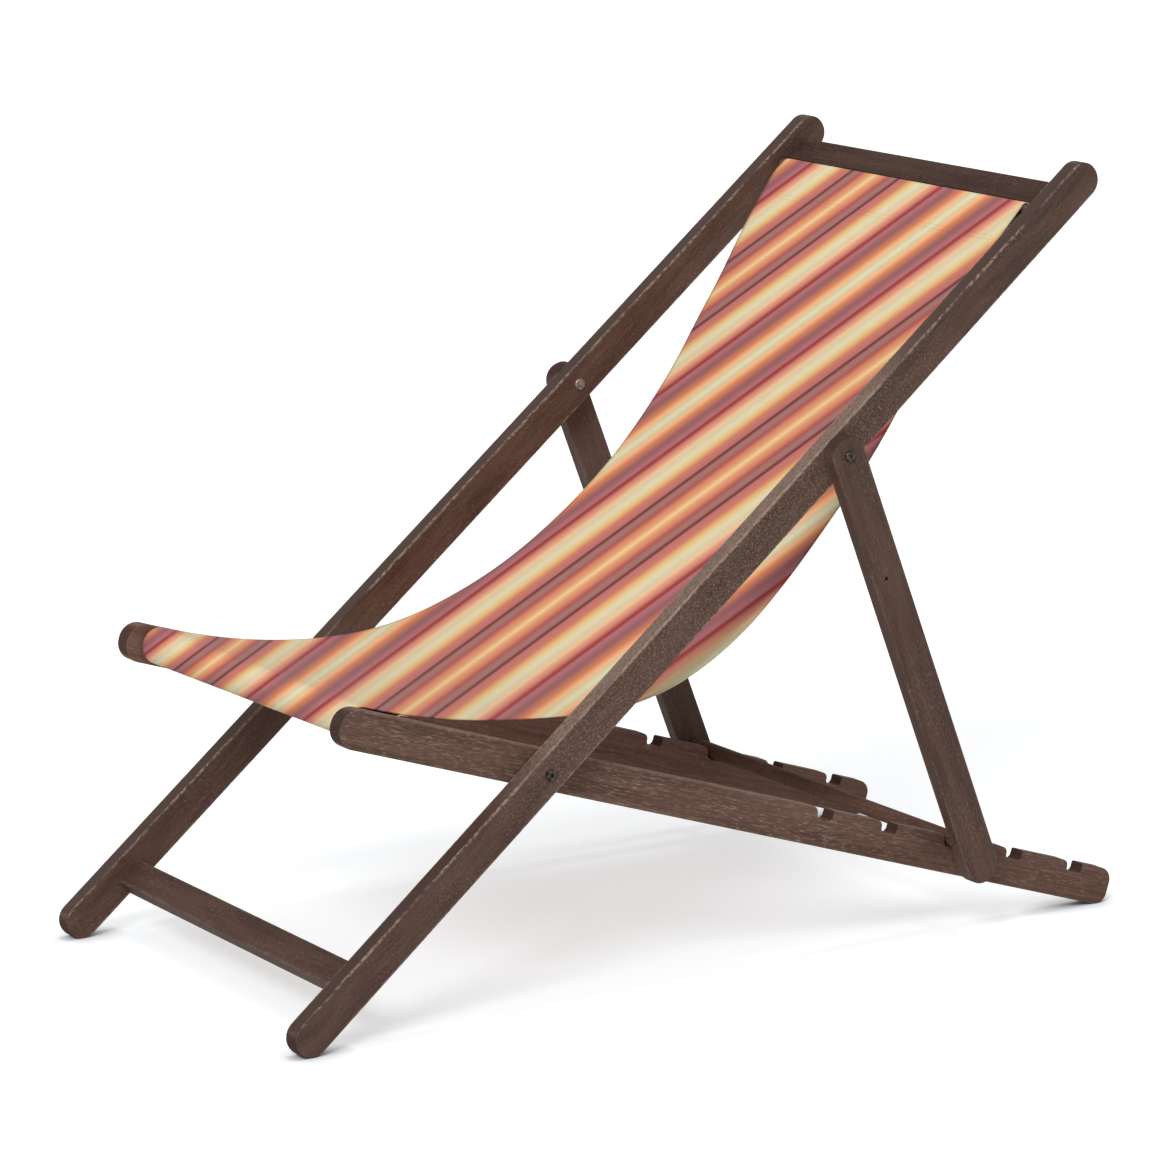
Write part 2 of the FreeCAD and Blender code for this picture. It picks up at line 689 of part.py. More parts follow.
# Prop pivots, from the inside out: low cap nut, back rail, washer, prop arm, bolt head
LOW_NUT = "seat_gap - bolt_play * 4"
LOW_NUT_INNER = f"back_inner - ({LOW_NUT})"
both_sides(bolt("arm_bolt", ARM_PIVOT, "back_inner - 1.0", "arm_inner + arm_thickness + bolt_play"),
           "prop_pivot_bolt")
both_sides(ring("arm_washer", ARM_PIVOT, "back_outer", "washer_radius", "arm_gap - bolt_play"),
           "prop_pivot_washer")
both_sides(cap_nut("arm_nut", ARM_PIVOT, LOW_NUT_INNER, LOW_NUT, "1.0"), "prop_pivot_nut")

SLING = DOCUMENT.addObject("Part::Feature", "sling")
SLING.Shape = sling()
keep(SLING, "sling")

# Check every object, then write each sub-part to its own file
DOCUMENT.recompute()
for item in DOCUMENT.Objects:
    if {"Invalid", "Error"} & set(item.State):
        raise RuntimeError(f"{item.Label} failed: {item.State}")
for item in SUBPARTS:
    if item.Shape.isNull() or not item.Shape.isValid() or not item.Shape.Solids:
        raise RuntimeError(f"{item.Label} has no valid solid")

os.makedirs("parts", exist_ok=True)
for item in SUBPARTS:
    item.Shape.exportStep(f"parts/{item.Label}.step")
    box = item.Shape.BoundBox
    print(
        f"{item.Label:24s} {item.Shape.Volume / 1000:7.1f} cm3  x {box.XMin:7.1f} {box.XMax:7.1f}"
        f"  y {box.YMin:7.1f} {box.YMax:7.1f}  z {box.ZMin:7.1f} {box.ZMax:7.1f}"
    )
for alias in ("foot_reach", "seat_tail", "arm_length", "arm_angle", "pivot_ahead"):
    print(alias, round(SIZE[alias], 3))
print("sling middle line", round(sum(abs(r * (h1 - h0)) for c, r, h0, h1 in SLING_ARCS), 1), "mm")
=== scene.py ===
# %% [markdown]
# # A folding deck chair in stained wood and striped cloth
# The CAD model already gives every rail, bar, bolt and washer its true shape. This lesson loads it as a
# fixed frame and dresses it: wood with grain that runs along each rail, dull steel, and a woven sling that
# is built as a real strip of cloth, hemmed round its two bars.

# %% Load the frame
import json
import math

import bpy
import numpy as np
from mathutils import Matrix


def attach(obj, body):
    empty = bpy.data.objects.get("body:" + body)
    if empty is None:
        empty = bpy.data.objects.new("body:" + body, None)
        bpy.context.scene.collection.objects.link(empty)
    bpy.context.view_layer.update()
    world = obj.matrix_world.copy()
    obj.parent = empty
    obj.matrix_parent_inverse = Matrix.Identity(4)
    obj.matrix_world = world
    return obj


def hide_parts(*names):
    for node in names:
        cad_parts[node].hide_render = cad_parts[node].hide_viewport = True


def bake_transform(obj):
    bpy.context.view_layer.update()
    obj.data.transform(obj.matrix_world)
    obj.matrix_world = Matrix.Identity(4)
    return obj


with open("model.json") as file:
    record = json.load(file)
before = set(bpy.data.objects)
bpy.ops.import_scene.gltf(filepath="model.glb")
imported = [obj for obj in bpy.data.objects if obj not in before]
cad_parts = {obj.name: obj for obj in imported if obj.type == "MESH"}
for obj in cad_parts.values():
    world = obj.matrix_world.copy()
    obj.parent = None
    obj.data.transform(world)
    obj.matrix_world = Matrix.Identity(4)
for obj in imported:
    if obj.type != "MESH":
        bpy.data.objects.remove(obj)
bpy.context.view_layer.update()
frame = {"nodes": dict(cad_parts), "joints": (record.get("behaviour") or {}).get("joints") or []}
nodes = frame["nodes"]
HINGES = {joint["name"]: joint["pos_m"] for joint in frame["joints"]}
PIVOT = tuple(HINGES["seat_hinge"][1:])         # side-plane place (y, z) of the main bolts
ARM_PIVOT = tuple(HINGES["prop_hinge"][1:])     # and of the prop arms' bolts
BACK_SLOPE = 39.8                               # slopes in degrees above +Y
SEAT_SLOPE = -17.8
ARM_SLOPE = -68.647

# %% [markdown]
# The camera comes first. It could be moved by eye until the view looks right, but its place and lens were
# worked out from the straight edges of the rails: a long lens, a little above the chair and well round to
# its left side. They are kept relative to the main hinge, the one point that every rail is measured from.

# %% Camera
CAMERA_PLACE = (4.4732, PIVOT[0] - 2.64005, PIVOT[1] + 1.2741)
CAMERA_AZIMUTH = 57.428
CAMERA_ELEVATION = 12.185
SENSOR_WIDTH = 36.0
FOCAL_LENGTH = 149.87

lens = bpy.data.cameras.new("studio_camera")
lens.sensor_width = SENSOR_WIDTH
lens.lens = FOCAL_LENGTH
camera = bpy.data.objects.new("studio_camera", lens)
camera.location = CAMERA_PLACE
camera.rotation_euler = (math.radians(90.0 - CAMERA_ELEVATION), 0.0, math.radians(CAMERA_AZIMUTH))
bpy.context.scene.collection.objects.link(camera)
bpy.context.scene.camera = camera
bpy.context.scene.view_settings.view_transform = "Standard"
print("camera at", CAMERA_PLACE)

# %% [markdown]
# Materials are node trees. These helpers keep each one readable: one call adds a node and fills in its
# sockets, and a socket may take a plain value or the output of an earlier node. Colours are written as the
# 0 to 255 values that a paint chart gives, and turned into the linear values that the renderer needs.


# %% Node helpers
def paint(red, green, blue):
    """Linear colour of an 8-bit colour: ((c + 0.055) / 1.055) ** 2.4 above the toe, c / 12.92 below it."""
    c = np.array([red, green, blue]) / 255.0
    linear = np.where(c <= 0.04045, c / 12.92, ((c + 0.055) / 1.055) ** 2.4)
    return (*linear.tolist(), 1.0)


def fill(tree, socket, value):
    """Link a socket to an earlier output, or set it to a plain value."""
    if isinstance(value, bpy.types.NodeSocket):
        tree.links.new(value, socket)
    else:
        socket.default_value = value


def add(tree, kind, sockets=None, **settings):
    """Add a node, set its properties, and fill its inputs, which are given by name or number."""
    node = tree.nodes.new(kind)
    for name, value in settings.items():
        setattr(node, name, value)
    for key, value in (sockets or {}).items():
        fill(tree, node.inputs[key], value)
    return node


def math_node(tree, operation, first, second=0.0, third=0.0, clamp=False):
    """One arithmetic step on one, two or three numbers."""
    node = add(tree, "ShaderNodeMath", {0: first, 1: second, 2: third}, operation=operation)
    node.use_clamp = clamp
    return node.outputs[0]


def soft_step(tree, value, low, high):
    """0 below low, 1 above high, and a smooth step between; low may be the larger to turn it round."""
    sockets = {"Value": value, 1: low, 2: high}
    return add(tree, "ShaderNodeMapRange", sockets, interpolation_type="SMOOTHSTEP").outputs[0]


def stretched_noise(tree, vector, scale, detail=3.0, roughness=0.5):
    """Noise of coordinates multiplied by a scale for each axis, so that it can run long one way."""
    longer = add(tree, "ShaderNodeVectorMath", {0: vector, 1: scale}, operation="MULTIPLY")
    noise = add(
        tree, "ShaderNodeTexNoise",
        {"Vector": longer.outputs[0], "Scale": 1.0, "Detail": detail, "Roughness": roughness},
    )
    return noise.outputs["Fac"]


def mix_colour(tree, amount, first, second, blend="MIX"):
    """Blend a second colour over a first by an amount; the mix node's sockets are found by identifier."""
    node = add(tree, "ShaderNodeMix", data_type="RGBA", blend_type=blend)
    for name, value in (("Factor_Float", amount), ("A_Color", first), ("B_Color", second)):
        fill(tree, next(s for s in node.inputs if s.identifier == name), value)
    return next(s for s in node.outputs if s.identifier == "Result_Color")


def times_tone(tree, colour, tone):
    """A colour multiplied by one number."""
    grey = add(tree, "ShaderNodeCombineColor", {0: tone, 1: tone, 2: tone}).outputs[0]
    return mix_colour(tree, 1.0, colour, grey, "MULTIPLY")


def add_bump(tree, shader, height, strength, distance):
    """Let a height tilt the shader's normal; distance is the depth of the relief in metres."""
    bump = add(tree, "ShaderNodeBump", {"Height": height, "Strength": strength, "Distance": distance})
    tree.links.new(bump.outputs[0], shader.inputs["Normal"])


def new_group(name, inputs, outputs):
    """An empty node group with named inputs (name, kind) and outputs (name, kind)."""
    group = bpy.data.node_groups.new(name, "ShaderNodeTree")
    for label, kind in inputs:
        group.interface.new_socket(label, in_out="INPUT", socket_type=kind)
    for label, kind in outputs:
        group.interface.new_socket(label, in_out="OUTPUT", socket_type=kind)
    entry = group.nodes.new("NodeGroupInput")
    leave = group.nodes.new("NodeGroupOutput")
    return group, entry.outputs, leave.inputs


def new_material(name):
    """An empty material with a Principled shader on its output."""
    material = bpy.data.materials.new(name)
    material.use_nodes = True
    tree = material.node_tree
    tree.nodes.clear()
    shader = tree.nodes.new("ShaderNodeBsdfPrincipled")
    out = tree.nodes.new("ShaderNodeOutputMaterial")
    tree.links.new(shader.outputs[0], out.inputs["Surface"])
    return material, tree, shader


VECTOR, NUMBER = "NodeSocketVector", "NodeSocketFloat"
print("node helpers ready")

# %% [markdown]
# Sawn hardwood has long features only along the board: broad darker bands and fine growth lines. A photo of
# wood would repeat and stretch on rails this long, so both are noise, stretched along the grain. Over a
# dark stain the timber's small pale specks show most, because the stain doesn't reach into them. The group
# takes coordinates whose second axis runs along the board, so one group serves every rail.

# %% Grain group
DRIFT = (0.012, 0.0, 0.012)             # metres by which slow noise bends the bands and lines sideways
DRIFT_SCALE = 4.0                       # scales are noise cells in a metre: across, along, across
BAND_SCALE = (60.0, 6.0, 60.0)
LINE_SCALE = (330.0, 14.0, 330.0)
LINE_STEP = (0.36, 0.66)                # noise at which a growth line starts and is full
SPECK_SCALE = (820.0, 190.0, 820.0)
SPECK_RELIEF = 1.5                      # height of a speck, beside 1 for a line


def grain_group():
    """Tone (slow bands), Lines (growth lines), Specks (raw noise of small specks) and Height of wood."""
    group, given, put = new_group(
        "stained_grain",
        [("Vector", VECTOR)],
        [("Tone", NUMBER), ("Lines", NUMBER), ("Specks", NUMBER), ("Height", NUMBER)],
    )
    vector = given["Vector"]
    drift = add(group, "ShaderNodeTexNoise", {"Vector": vector, "Scale": DRIFT_SCALE, "Detail": 1.0})
    bent = add(
        group, "ShaderNodeVectorMath", {0: drift.outputs["Color"], 1: DRIFT, 2: vector},
        operation="MULTIPLY_ADD",
    ).outputs[0]
    tone = stretched_noise(group, bent, BAND_SCALE, 3.0)
    lines = soft_step(group, stretched_noise(group, bent, LINE_SCALE, 2.0, 0.6), *LINE_STEP)
    specks = stretched_noise(group, vector, SPECK_SCALE, 3.0, 0.62)
    relief = math_node(group, "MULTIPLY_ADD", specks, SPECK_RELIEF, lines)
    for label, value in (("Tone", tone), ("Lines", lines), ("Specks", specks), ("Height", relief)):
        group.links.new(value, put[label])
    return group


GRAIN = grain_group()
print("group:", GRAIN.name)

# %% [markdown]
# Stain rubs off first along the long edges, in short dashes, and the pale line along an edge is also a
# painted highlight, as where a rounded arris catches the light. Weather bleaches the upper faces that it
# reaches; where it doesn't, the upper face is darkened with painted shade, because it is lit more than the
# sides. Blender can find edges by their curvature, but a CAD mesh is loose triangles, and in a rail's own
# coordinates the distance to an edge is simple arithmetic: how far the point lies from the two faces that
# meet there. Where a mask is strong, the speck noise is raised, so that more of it passes the threshold and
# the pale specks crowd together.

# %% Edge wear, painted highlight and painted shade group
EDGE_BAND = (0.0030, 0.0012)            # summed distance to two faces where the edge wear and painted highlight start and are full
TOP_BAND = (0.0020, 0.0008)             # depth below the upper face, in the same way
PATCH_SCALE = (40.0, 14.0, 40.0)        # patches of the rail that are worn or highlit at all
EDGE_PATCH = (0.30, 0.56)
SPECKED_PATCH = (0.36, 0.62)
DASH_SCALE = (300.0, 170.0, 300.0)      # dashes along a rubbed edge
DASH_STEP = (0.40, 0.60)
BETWEEN_DASHES = 0.15                   # edge wear and painted highlight that is left between the dashes
EDGE_CROWDS, WEATHER_CROWDS, BLEACH_CROWDS = 0.12, 0.03, 0.11
SPECK_STEP = (0.50, 0.74)
QUIET_SPECKS = 0.35                     # share of the specks that shows outside the patches


def wear_highlight_and_shade_group():
    """Edge = a soft step of the summed distances to the two nearest faces, in patches and dashes.

    Side is the distance from the rail's middle plane, Rise the distance above its middle line, and the edge
    factor says how far the edges are worn and highlit. Edge is rubbed wear and a painted highlight along
    the arrises. Bleached is the narrow upper face times Weather, and the rest of that face is painted
    shade, which darkens it. Worn is the speck noise, raised by Edge, Weather and Bleached and passed
    through a soft threshold, times 0.45 + 0.35 Edge + 0.25 Weather.
    """
    group, given, put = new_group(
        "wear_highlight_and_shade",
        [
            ("Vector", VECTOR), ("Specks", NUMBER), ("Side", NUMBER), ("Half side", NUMBER),
            ("Rise", NUMBER), ("Half rise", NUMBER), ("Weather", NUMBER), ("Rubbed and highlit", NUMBER),
        ],
        [("Worn", NUMBER), ("Edge", NUMBER), ("Bleached", NUMBER), ("Painted top shade", NUMBER)],
    )
    weather = given["Weather"]
    side = math_node(group, "SUBTRACT", given["Half side"], math_node(group, "ABSOLUTE", given["Side"]))
    rise = math_node(group, "SUBTRACT", given["Half rise"], math_node(group, "ABSOLUTE", given["Rise"]))
    patches = stretched_noise(group, given["Vector"], PATCH_SCALE, 2.0)
    dashes = stretched_noise(group, given["Vector"], DASH_SCALE, 2.0, 0.6)
    dashes = math_node(group, "ADD", soft_step(group, dashes, *DASH_STEP), BETWEEN_DASHES)
    # Edge: rubbed wear and a painted highlight along the arrises, in patches and dashes.
    edge = soft_step(group, math_node(group, "ADD", side, rise), *EDGE_BAND)
    edge = math_node(group, "MULTIPLY", edge, soft_step(group, patches, *EDGE_PATCH))
    edge = math_node(group, "MULTIPLY", edge, dashes, clamp=True)
    edge = math_node(group, "MULTIPLY", edge, given["Rubbed and highlit"])

    # The narrow upper face: bleached where weather reaches, and elsewhere darkened with painted shade.
    top = soft_step(group, math_node(group, "SUBTRACT", given["Half rise"], given["Rise"]), *TOP_BAND)
    bleached = math_node(group, "MULTIPLY", top, weather)
    crowd = math_node(group, "MULTIPLY_ADD", edge, EDGE_CROWDS, given["Specks"])
    crowd = math_node(group, "MULTIPLY_ADD", weather, WEATHER_CROWDS, crowd)
    crowd = math_node(group, "MULTIPLY_ADD", bleached, BLEACH_CROWDS, crowd)
    shown = soft_step(group, patches, *SPECKED_PATCH)
    shown = math_node(group, "MULTIPLY_ADD", shown, 1.0 - QUIET_SPECKS, QUIET_SPECKS)
    shown = math_node(group, "MAXIMUM", shown, weather)
    worn = math_node(group, "MULTIPLY", soft_step(group, crowd, *SPECK_STEP), shown)
    strength = math_node(group, "MULTIPLY_ADD", edge, 0.35, 0.45)
    strength = math_node(group, "MULTIPLY_ADD", weather, 0.25, strength)
    for label, value in (
        ("Worn", math_node(group, "MULTIPLY", worn, strength)),
        ("Edge", edge),
        ("Bleached", bleached),
        ("Painted top shade", math_node(group, "SUBTRACT", top, bleached)),
    ):
        group.links.new(value, put[label])
    return group


WEAR_HIGHLIGHT_AND_SHADE = wear_highlight_and_shade_group()
print("group:", WEAR_HIGHLIGHT_AND_SHADE.name)

# %% [markdown]
# The wood itself is a dark chocolate stain over a paler timber. Each frame has its own slope, so each gets
# its own material: a Mapping node turns the object's coordinates until the second axis runs along the rail,
# and everything else is shared. Each kind of piece has a shade of its own, partly its own tone and partly
# painted light and shade that makes up for how brightly it is lit, and the right rails are made paler by
# painted light where they stand in shade. The left rails are bleached along a stretch, and end grain, at
# the rails' ends and in the notches, is darker: partly the stain that end grain drinks, partly painted
# shade in the notches' recesses.

# %% Stained wood
STAIN_DEEP = (70, 49, 41)
STAIN_MID = (89, 66, 56)
STAIN_PALE = (126, 101, 90)
BARE_WOOD = (158, 136, 123)
TONE_STEP = (0.30, 0.70)                # band noise at which deep stain turns to the middle one
LINES_SHOW, PAINTED_TOP_SHADE_SHOWS, BLEACH_SHOWS, END_GRAIN_AND_NOTCH_SHADE_SHOWS, EDGE_WEAR_AND_HIGHLIGHT_SHOWS = 0.18, 0.7, 0.20, 0.75, 0.75
PAINTED_TOP_SHADE, END_SHADE = 0.6, 0.5        # how much darker deep stain is under painted top shade, and on end grain, partly painted shade in notches
END_FACING = (0.30, 0.85)               # how far a face looks along the grain where end grain starts
WEATHER_FADE = 0.09                     # half length of a bleached stretch's soft ends, in metres
WOOD_ROUGHNESS = 0.58
LINES_DULL, WEAR_DULLS, ENDS_DULL = 0.10, 0.4, 0.3
GRAIN_BUMP = (0.3, 0.0004)              # strength and depth in metres


def shaded(colour, shade):
    """Linear colour of a stain, times a shade; alpha stays 1."""
    return (*(np.array(paint(*colour)[:3]) * shade).tolist(), 1.0)


def along_stretch(tree, along, low, high):
    """1 inside a stretch of the rail's length and 0 outside it, with soft ends."""
    after = soft_step(tree, along, low - WEATHER_FADE, low + WEATHER_FADE)
    before = soft_step(tree, along, high + WEATHER_FADE, high - WEATHER_FADE)
    return math_node(tree, "MULTIPLY", after, before)


def stained_wood(
    name, place, slope, middle, half, along_x=False, shade=1.0, rubbed_and_highlit=0.5, weathered=None,
    right_painted_light=1.0, grain_length=1.0, gloss=0.2,
):
    """Wood whose grain runs along a rail.

    place and slope (degrees above +Y) give the rail's own coordinates: x across the chair, y along the
    rail, z square to it. With along_x the piece lies across the chair. middle and half give the section
    that wears, the edge factor how pale its edges are, which is rubbed wear and a painted highlight, and
    weathered the bleached stretch of the left rail and how far it is bleached. shade is partly the piece's
    own tone and partly painted light and shade. The right rail's factor makes it paler, which is painted
    light, and grain_length draws the grain out.
    far it is bleached. right_painted_light makes the right rail paler, and grain_length draws the grain
    out.
    """
    material, tree, shader = new_material(name)
    turn = math.radians(slope)
    where = tree.nodes.new("ShaderNodeTexCoord").outputs
    own = add(
        tree, "ShaderNodeMapping",
        {"Vector": where["Object"], "Location": (0.0, *place), "Rotation": (turn, 0.0, 0.0)},
        vector_type="TEXTURE",
    ).outputs[0]
    parts = add(tree, "ShaderNodeSeparateXYZ", {0: own}).outputs
    if along_x:
        swapped = {"X": parts["Y"], "Y": parts["X"], "Z": parts["Z"]}
        own = add(tree, "ShaderNodeCombineXYZ", swapped).outputs[0]
        side = math_node(tree, "SUBTRACT", parts["Y"], middle[0])
    else:
        side = math_node(tree, "SUBTRACT", math_node(tree, "ABSOLUTE", parts["X"]), middle[0])
    rise = math_node(tree, "SUBTRACT", parts["Z"], middle[1])
    left = math_node(tree, "GREATER_THAN", parts["X"], 0.0)
    weather = 0.0
    if weathered:
        low, high, strength = weathered
        weather = math_node(tree, "MULTIPLY", along_stretch(tree, parts["Y"], low, high), left)
        weather = math_node(tree, "MULTIPLY", weather, strength)

    drawn_out = (1.0, 1.0 / grain_length, 1.0)
    drawn = add(tree, "ShaderNodeVectorMath", {0: own, 1: drawn_out}, operation="MULTIPLY").outputs[0]
    grain = add(tree, "ShaderNodeGroup", {"Vector": drawn}, node_tree=GRAIN).outputs
    wear_and_painted_light = add(tree, "ShaderNodeGroup", {
        "Vector": own, "Specks": grain["Specks"], "Side": side, "Half side": half[0],
        "Rise": rise, "Half rise": half[1], "Weather": weather, "Rubbed and highlit": rubbed_and_highlit,
    }, node_tree=WEAR_HIGHLIGHT_AND_SHADE).outputs

    deep, mid, pale, bare = (shaded(c, shade) for c in (STAIN_DEEP, STAIN_MID, STAIN_PALE, BARE_WOOD))
    colour = mix_colour(tree, soft_step(tree, grain["Tone"], *TONE_STEP), deep, mid)
    colour = mix_colour(tree, math_node(tree, "MULTIPLY", grain["Lines"], LINES_SHOW), colour, pale)
    # Painted light: the right rail is made paler where it stands in shade.
    if right_painted_light != 1.0:
        paler = math_node(tree, "MULTIPLY_ADD", left, 1.0 - right_painted_light, right_painted_light)
        colour = times_tone(tree, colour, paler)
    colour = mix_colour(tree, wear_and_painted_light["Worn"], colour, bare)
    # Painted shade darkens the narrow upper face where weather doesn't bleach it.
    if not along_x:
        painted_top_shade = math_node(tree, "MULTIPLY", wear_and_painted_light["Painted top shade"], PAINTED_TOP_SHADE_SHOWS)
        colour = mix_colour(tree, painted_top_shade, colour, shaded(STAIN_DEEP, PAINTED_TOP_SHADE * shade))
        bleached = math_node(tree, "MULTIPLY", wear_and_painted_light["Bleached"], BLEACH_SHOWS)
        colour = mix_colour(tree, bleached, colour, pale)
    lengthwise = (1.0, 0.0, 0.0) if along_x else (0.0, math.cos(turn), math.sin(turn))
    facing = add(
        tree, "ShaderNodeVectorMath", {0: where["Normal"], 1: lengthwise}, operation="DOT_PRODUCT"
    ).outputs["Value"]
    # End grain is darker: partly the stain it drinks, partly painted shade in the notches' recesses.
    end_grain = soft_step(tree, math_node(tree, "ABSOLUTE", facing), *END_FACING)
    end_grain_and_notch_shade = math_node(tree, "MULTIPLY", end_grain, END_GRAIN_AND_NOTCH_SHADE_SHOWS)
    colour = mix_colour(tree, end_grain_and_notch_shade, colour, shaded(STAIN_DEEP, END_SHADE))
    # The pale edge line: rubbed wear and a painted highlight.
    colour = mix_colour(tree, math_node(tree, "MULTIPLY", wear_and_painted_light["Edge"], EDGE_WEAR_AND_HIGHLIGHT_SHOWS), colour, bare)
    tree.links.new(colour, shader.inputs["Base Color"])

    rough = math_node(tree, "MULTIPLY_ADD", grain["Lines"], LINES_DULL, WOOD_ROUGHNESS)
    rough = math_node(tree, "MULTIPLY_ADD", wear_and_painted_light["Worn"], WEAR_DULLS, rough)
    rough = math_node(tree, "MULTIPLY_ADD", end_grain, ENDS_DULL, rough, clamp=True)
    tree.links.new(rough, shader.inputs["Roughness"])
    shader.inputs["Specular IOR Level"].default_value = gloss
    add_bump(tree, shader, grain["Height"], *GRAIN_BUMP)
    return material


# Each piece's shade is partly its tone and partly painted light and shade: the seat rails and bars lighter
# where they stand in shade, the top board darker where it faces the light. The right rails' factor is
# painted light.
back_wood = stained_wood(
    "back_rail_wood", PIVOT, BACK_SLOPE, middle=(0.260, 0.0), half=(0.0105, 0.0201), shade=0.95,
    rubbed_and_highlit=1.0, weathered=(-0.04, 0.62, 1.0), right_painted_light=1.1, grain_length=0.6,
)
seat_wood = stained_wood(
    "seat_rail_wood", PIVOT, SEAT_SLOPE, middle=(0.2365, 0.0020), half=(0.0105, 0.0213), shade=1.32,
    rubbed_and_highlit=0.15, weathered=(-0.30, 0.50, 0.6), right_painted_light=1.5, grain_length=1.8, gloss=0.14,
)
arm_wood = stained_wood(
    "prop_arm_wood", ARM_PIVOT, ARM_SLOPE, middle=(0.281, 0.0), half=(0.009, 0.0208), shade=0.92,
    rubbed_and_highlit=0.2,
)
top_wood = stained_wood(
    "top_rail_wood", PIVOT, BACK_SLOPE, middle=(0.8749, -0.0085), half=(0.0167, 0.0105), along_x=True,
    shade=0.60, rubbed_and_highlit=0.1, gloss=0.06,
)
foot_wood = stained_wood(
    "foot_rail_wood", PIVOT, BACK_SLOPE, middle=(-0.2993, -0.0085), half=(0.0169, 0.0105), along_x=True,
    shade=0.82, rubbed_and_highlit=0.3, gloss=0.10,
)
NO_EDGES = (9.0, 9.0)                   # a turned bar has no edges, so its section lies far away
bar_wood = stained_wood(
    "turned_bar_wood", (0.0, 0.0), 0.0, middle=(0.0, 0.0), half=NO_EDGES, along_x=True, shade=1.15,
    gloss=0.05,
)
print("wood:", [m.name for m in bpy.data.materials if m.name.endswith("_wood")])

# %% [markdown]
# The bolts are low socket heads, dark with age, and the washers and nuts are plain steel. A metal's colour
# is its reflection, so one Principled shader at full metallic is enough, with noise in its roughness and
# stain. The finishes then go onto the CAD nodes by name, left and right alike.

# %% Steel
TARNISH_SCALE = (320.0, 320.0, 320.0)
TARNISH_STEP = (0.35, 0.65)
TARNISH_DULLS = 0.22
TARNISH_BUMP = (0.15, 0.0002)           # strength and depth in metres


def dull_steel(name, clean, stained, roughness):
    """Steel with cloudy tarnish: noise mixes a clean and a stained colour and dulls the stained places."""
    material, tree, shader = new_material(name)
    where = tree.nodes.new("ShaderNodeTexCoord").outputs["Object"]
    cloud = stretched_noise(tree, where, TARNISH_SCALE, 4.0, 0.6)
    dull = soft_step(tree, cloud, *TARNISH_STEP)
    tree.links.new(mix_colour(tree, dull, paint(*clean), paint(*stained)), shader.inputs["Base Color"])
    rough = math_node(tree, "MULTIPLY_ADD", dull, TARNISH_DULLS, roughness)
    tree.links.new(rough, shader.inputs["Roughness"])
    shader.inputs["Metallic"].default_value = 1.0
    add_bump(tree, shader, cloud, *TARNISH_BUMP)
    return material


bolt_steel = dull_steel("bolt_steel", clean=(88, 79, 73), stained=(42, 35, 31), roughness=0.34)
plain_steel = dull_steel("washer_steel", clean=(176, 174, 170), stained=(120, 114, 108), roughness=0.40)

FINISHES = {
    "back_rail": back_wood, "seat_rail": seat_wood, "prop_arm": arm_wood, "top_rail": top_wood,
    "foot_rail": foot_wood, "sling_rod": bar_wood, "seat_front_bar": bar_wood, "prop_crossbar": bar_wood,
    "main_pivot_bolt": bolt_steel, "prop_pivot_bolt": bolt_steel, "main_pivot_washer": plain_steel,
    "main_nut_washer": plain_steel, "main_pivot_nut": plain_steel, "prop_pivot_washer": plain_steel,
    "prop_pivot_nut": plain_steel,
}
for name, node in nodes.items():
    finish = FINISHES.get(name.removesuffix("_left").removesuffix("_right"))
    if finish:
        node.data.materials.clear()
        node.data.materials.append(finish)
print("finished nodes:", sum(bool(n.data.materials) for n in nodes.values()))

# %% [markdown]
# The sling is one strip of cloth. Seen from the side it is a chain of arcs that meet without a kink: round
# the front bar, down to its lowest point, up behind the sitter's hips and back, and over the rod at the
# top. A cloth simulation could hang it, but a strip pulled taut between two bars has a curve that can be
# measured, so the path is worked out once as an array of points and carried across the chair.

# %% Sling path
FRONT_BAR = (-0.2136, 0.0071)           # along the seat rail and above its pivot bore
ROLL_RADIUS = 0.0177                    # of the cloth round the front bar
ROD_RADIUS = 0.0070                     # of the cloth round the top rod
SLING_LOW = (0.0455, 0.0504)            # lowest point, behind the main hinge and above it
SLING_STOPS = ((0.3145, -0.0866), (0.6045, -0.048), (0.8485, 0.0065))   # hips, back and head on the rails
PATH_STEP = 0.005


def rail_point(along, front, slope):
    """Side-plane point (y, z) of a place along a rail and square to it, turned by the rail's slope."""
    c, s = math.cos(math.radians(slope)), math.sin(math.radians(slope))
    return np.array([PIVOT[0] + along * c - front * s, PIVOT[1] + along * s + front * c])


def heading_vectors(heading):
    """Unit vectors along a heading, (cos, sin), and to its upper side, (-sin, cos)."""
    c, s = np.cos(heading), np.sin(heading)
    return np.array([c, s]).T, np.array([-s, c]).T


def arc_path(centre, radius, first, last):
    """Points and headings of an arc: centre - radius * upper(heading), for headings from first to last."""
    count = max(4, int(abs(radius * (last - first)) / PATH_STEP) + 1)
    heading = np.linspace(first, last, count)
    return centre - radius * heading_vectors(heading)[1], heading


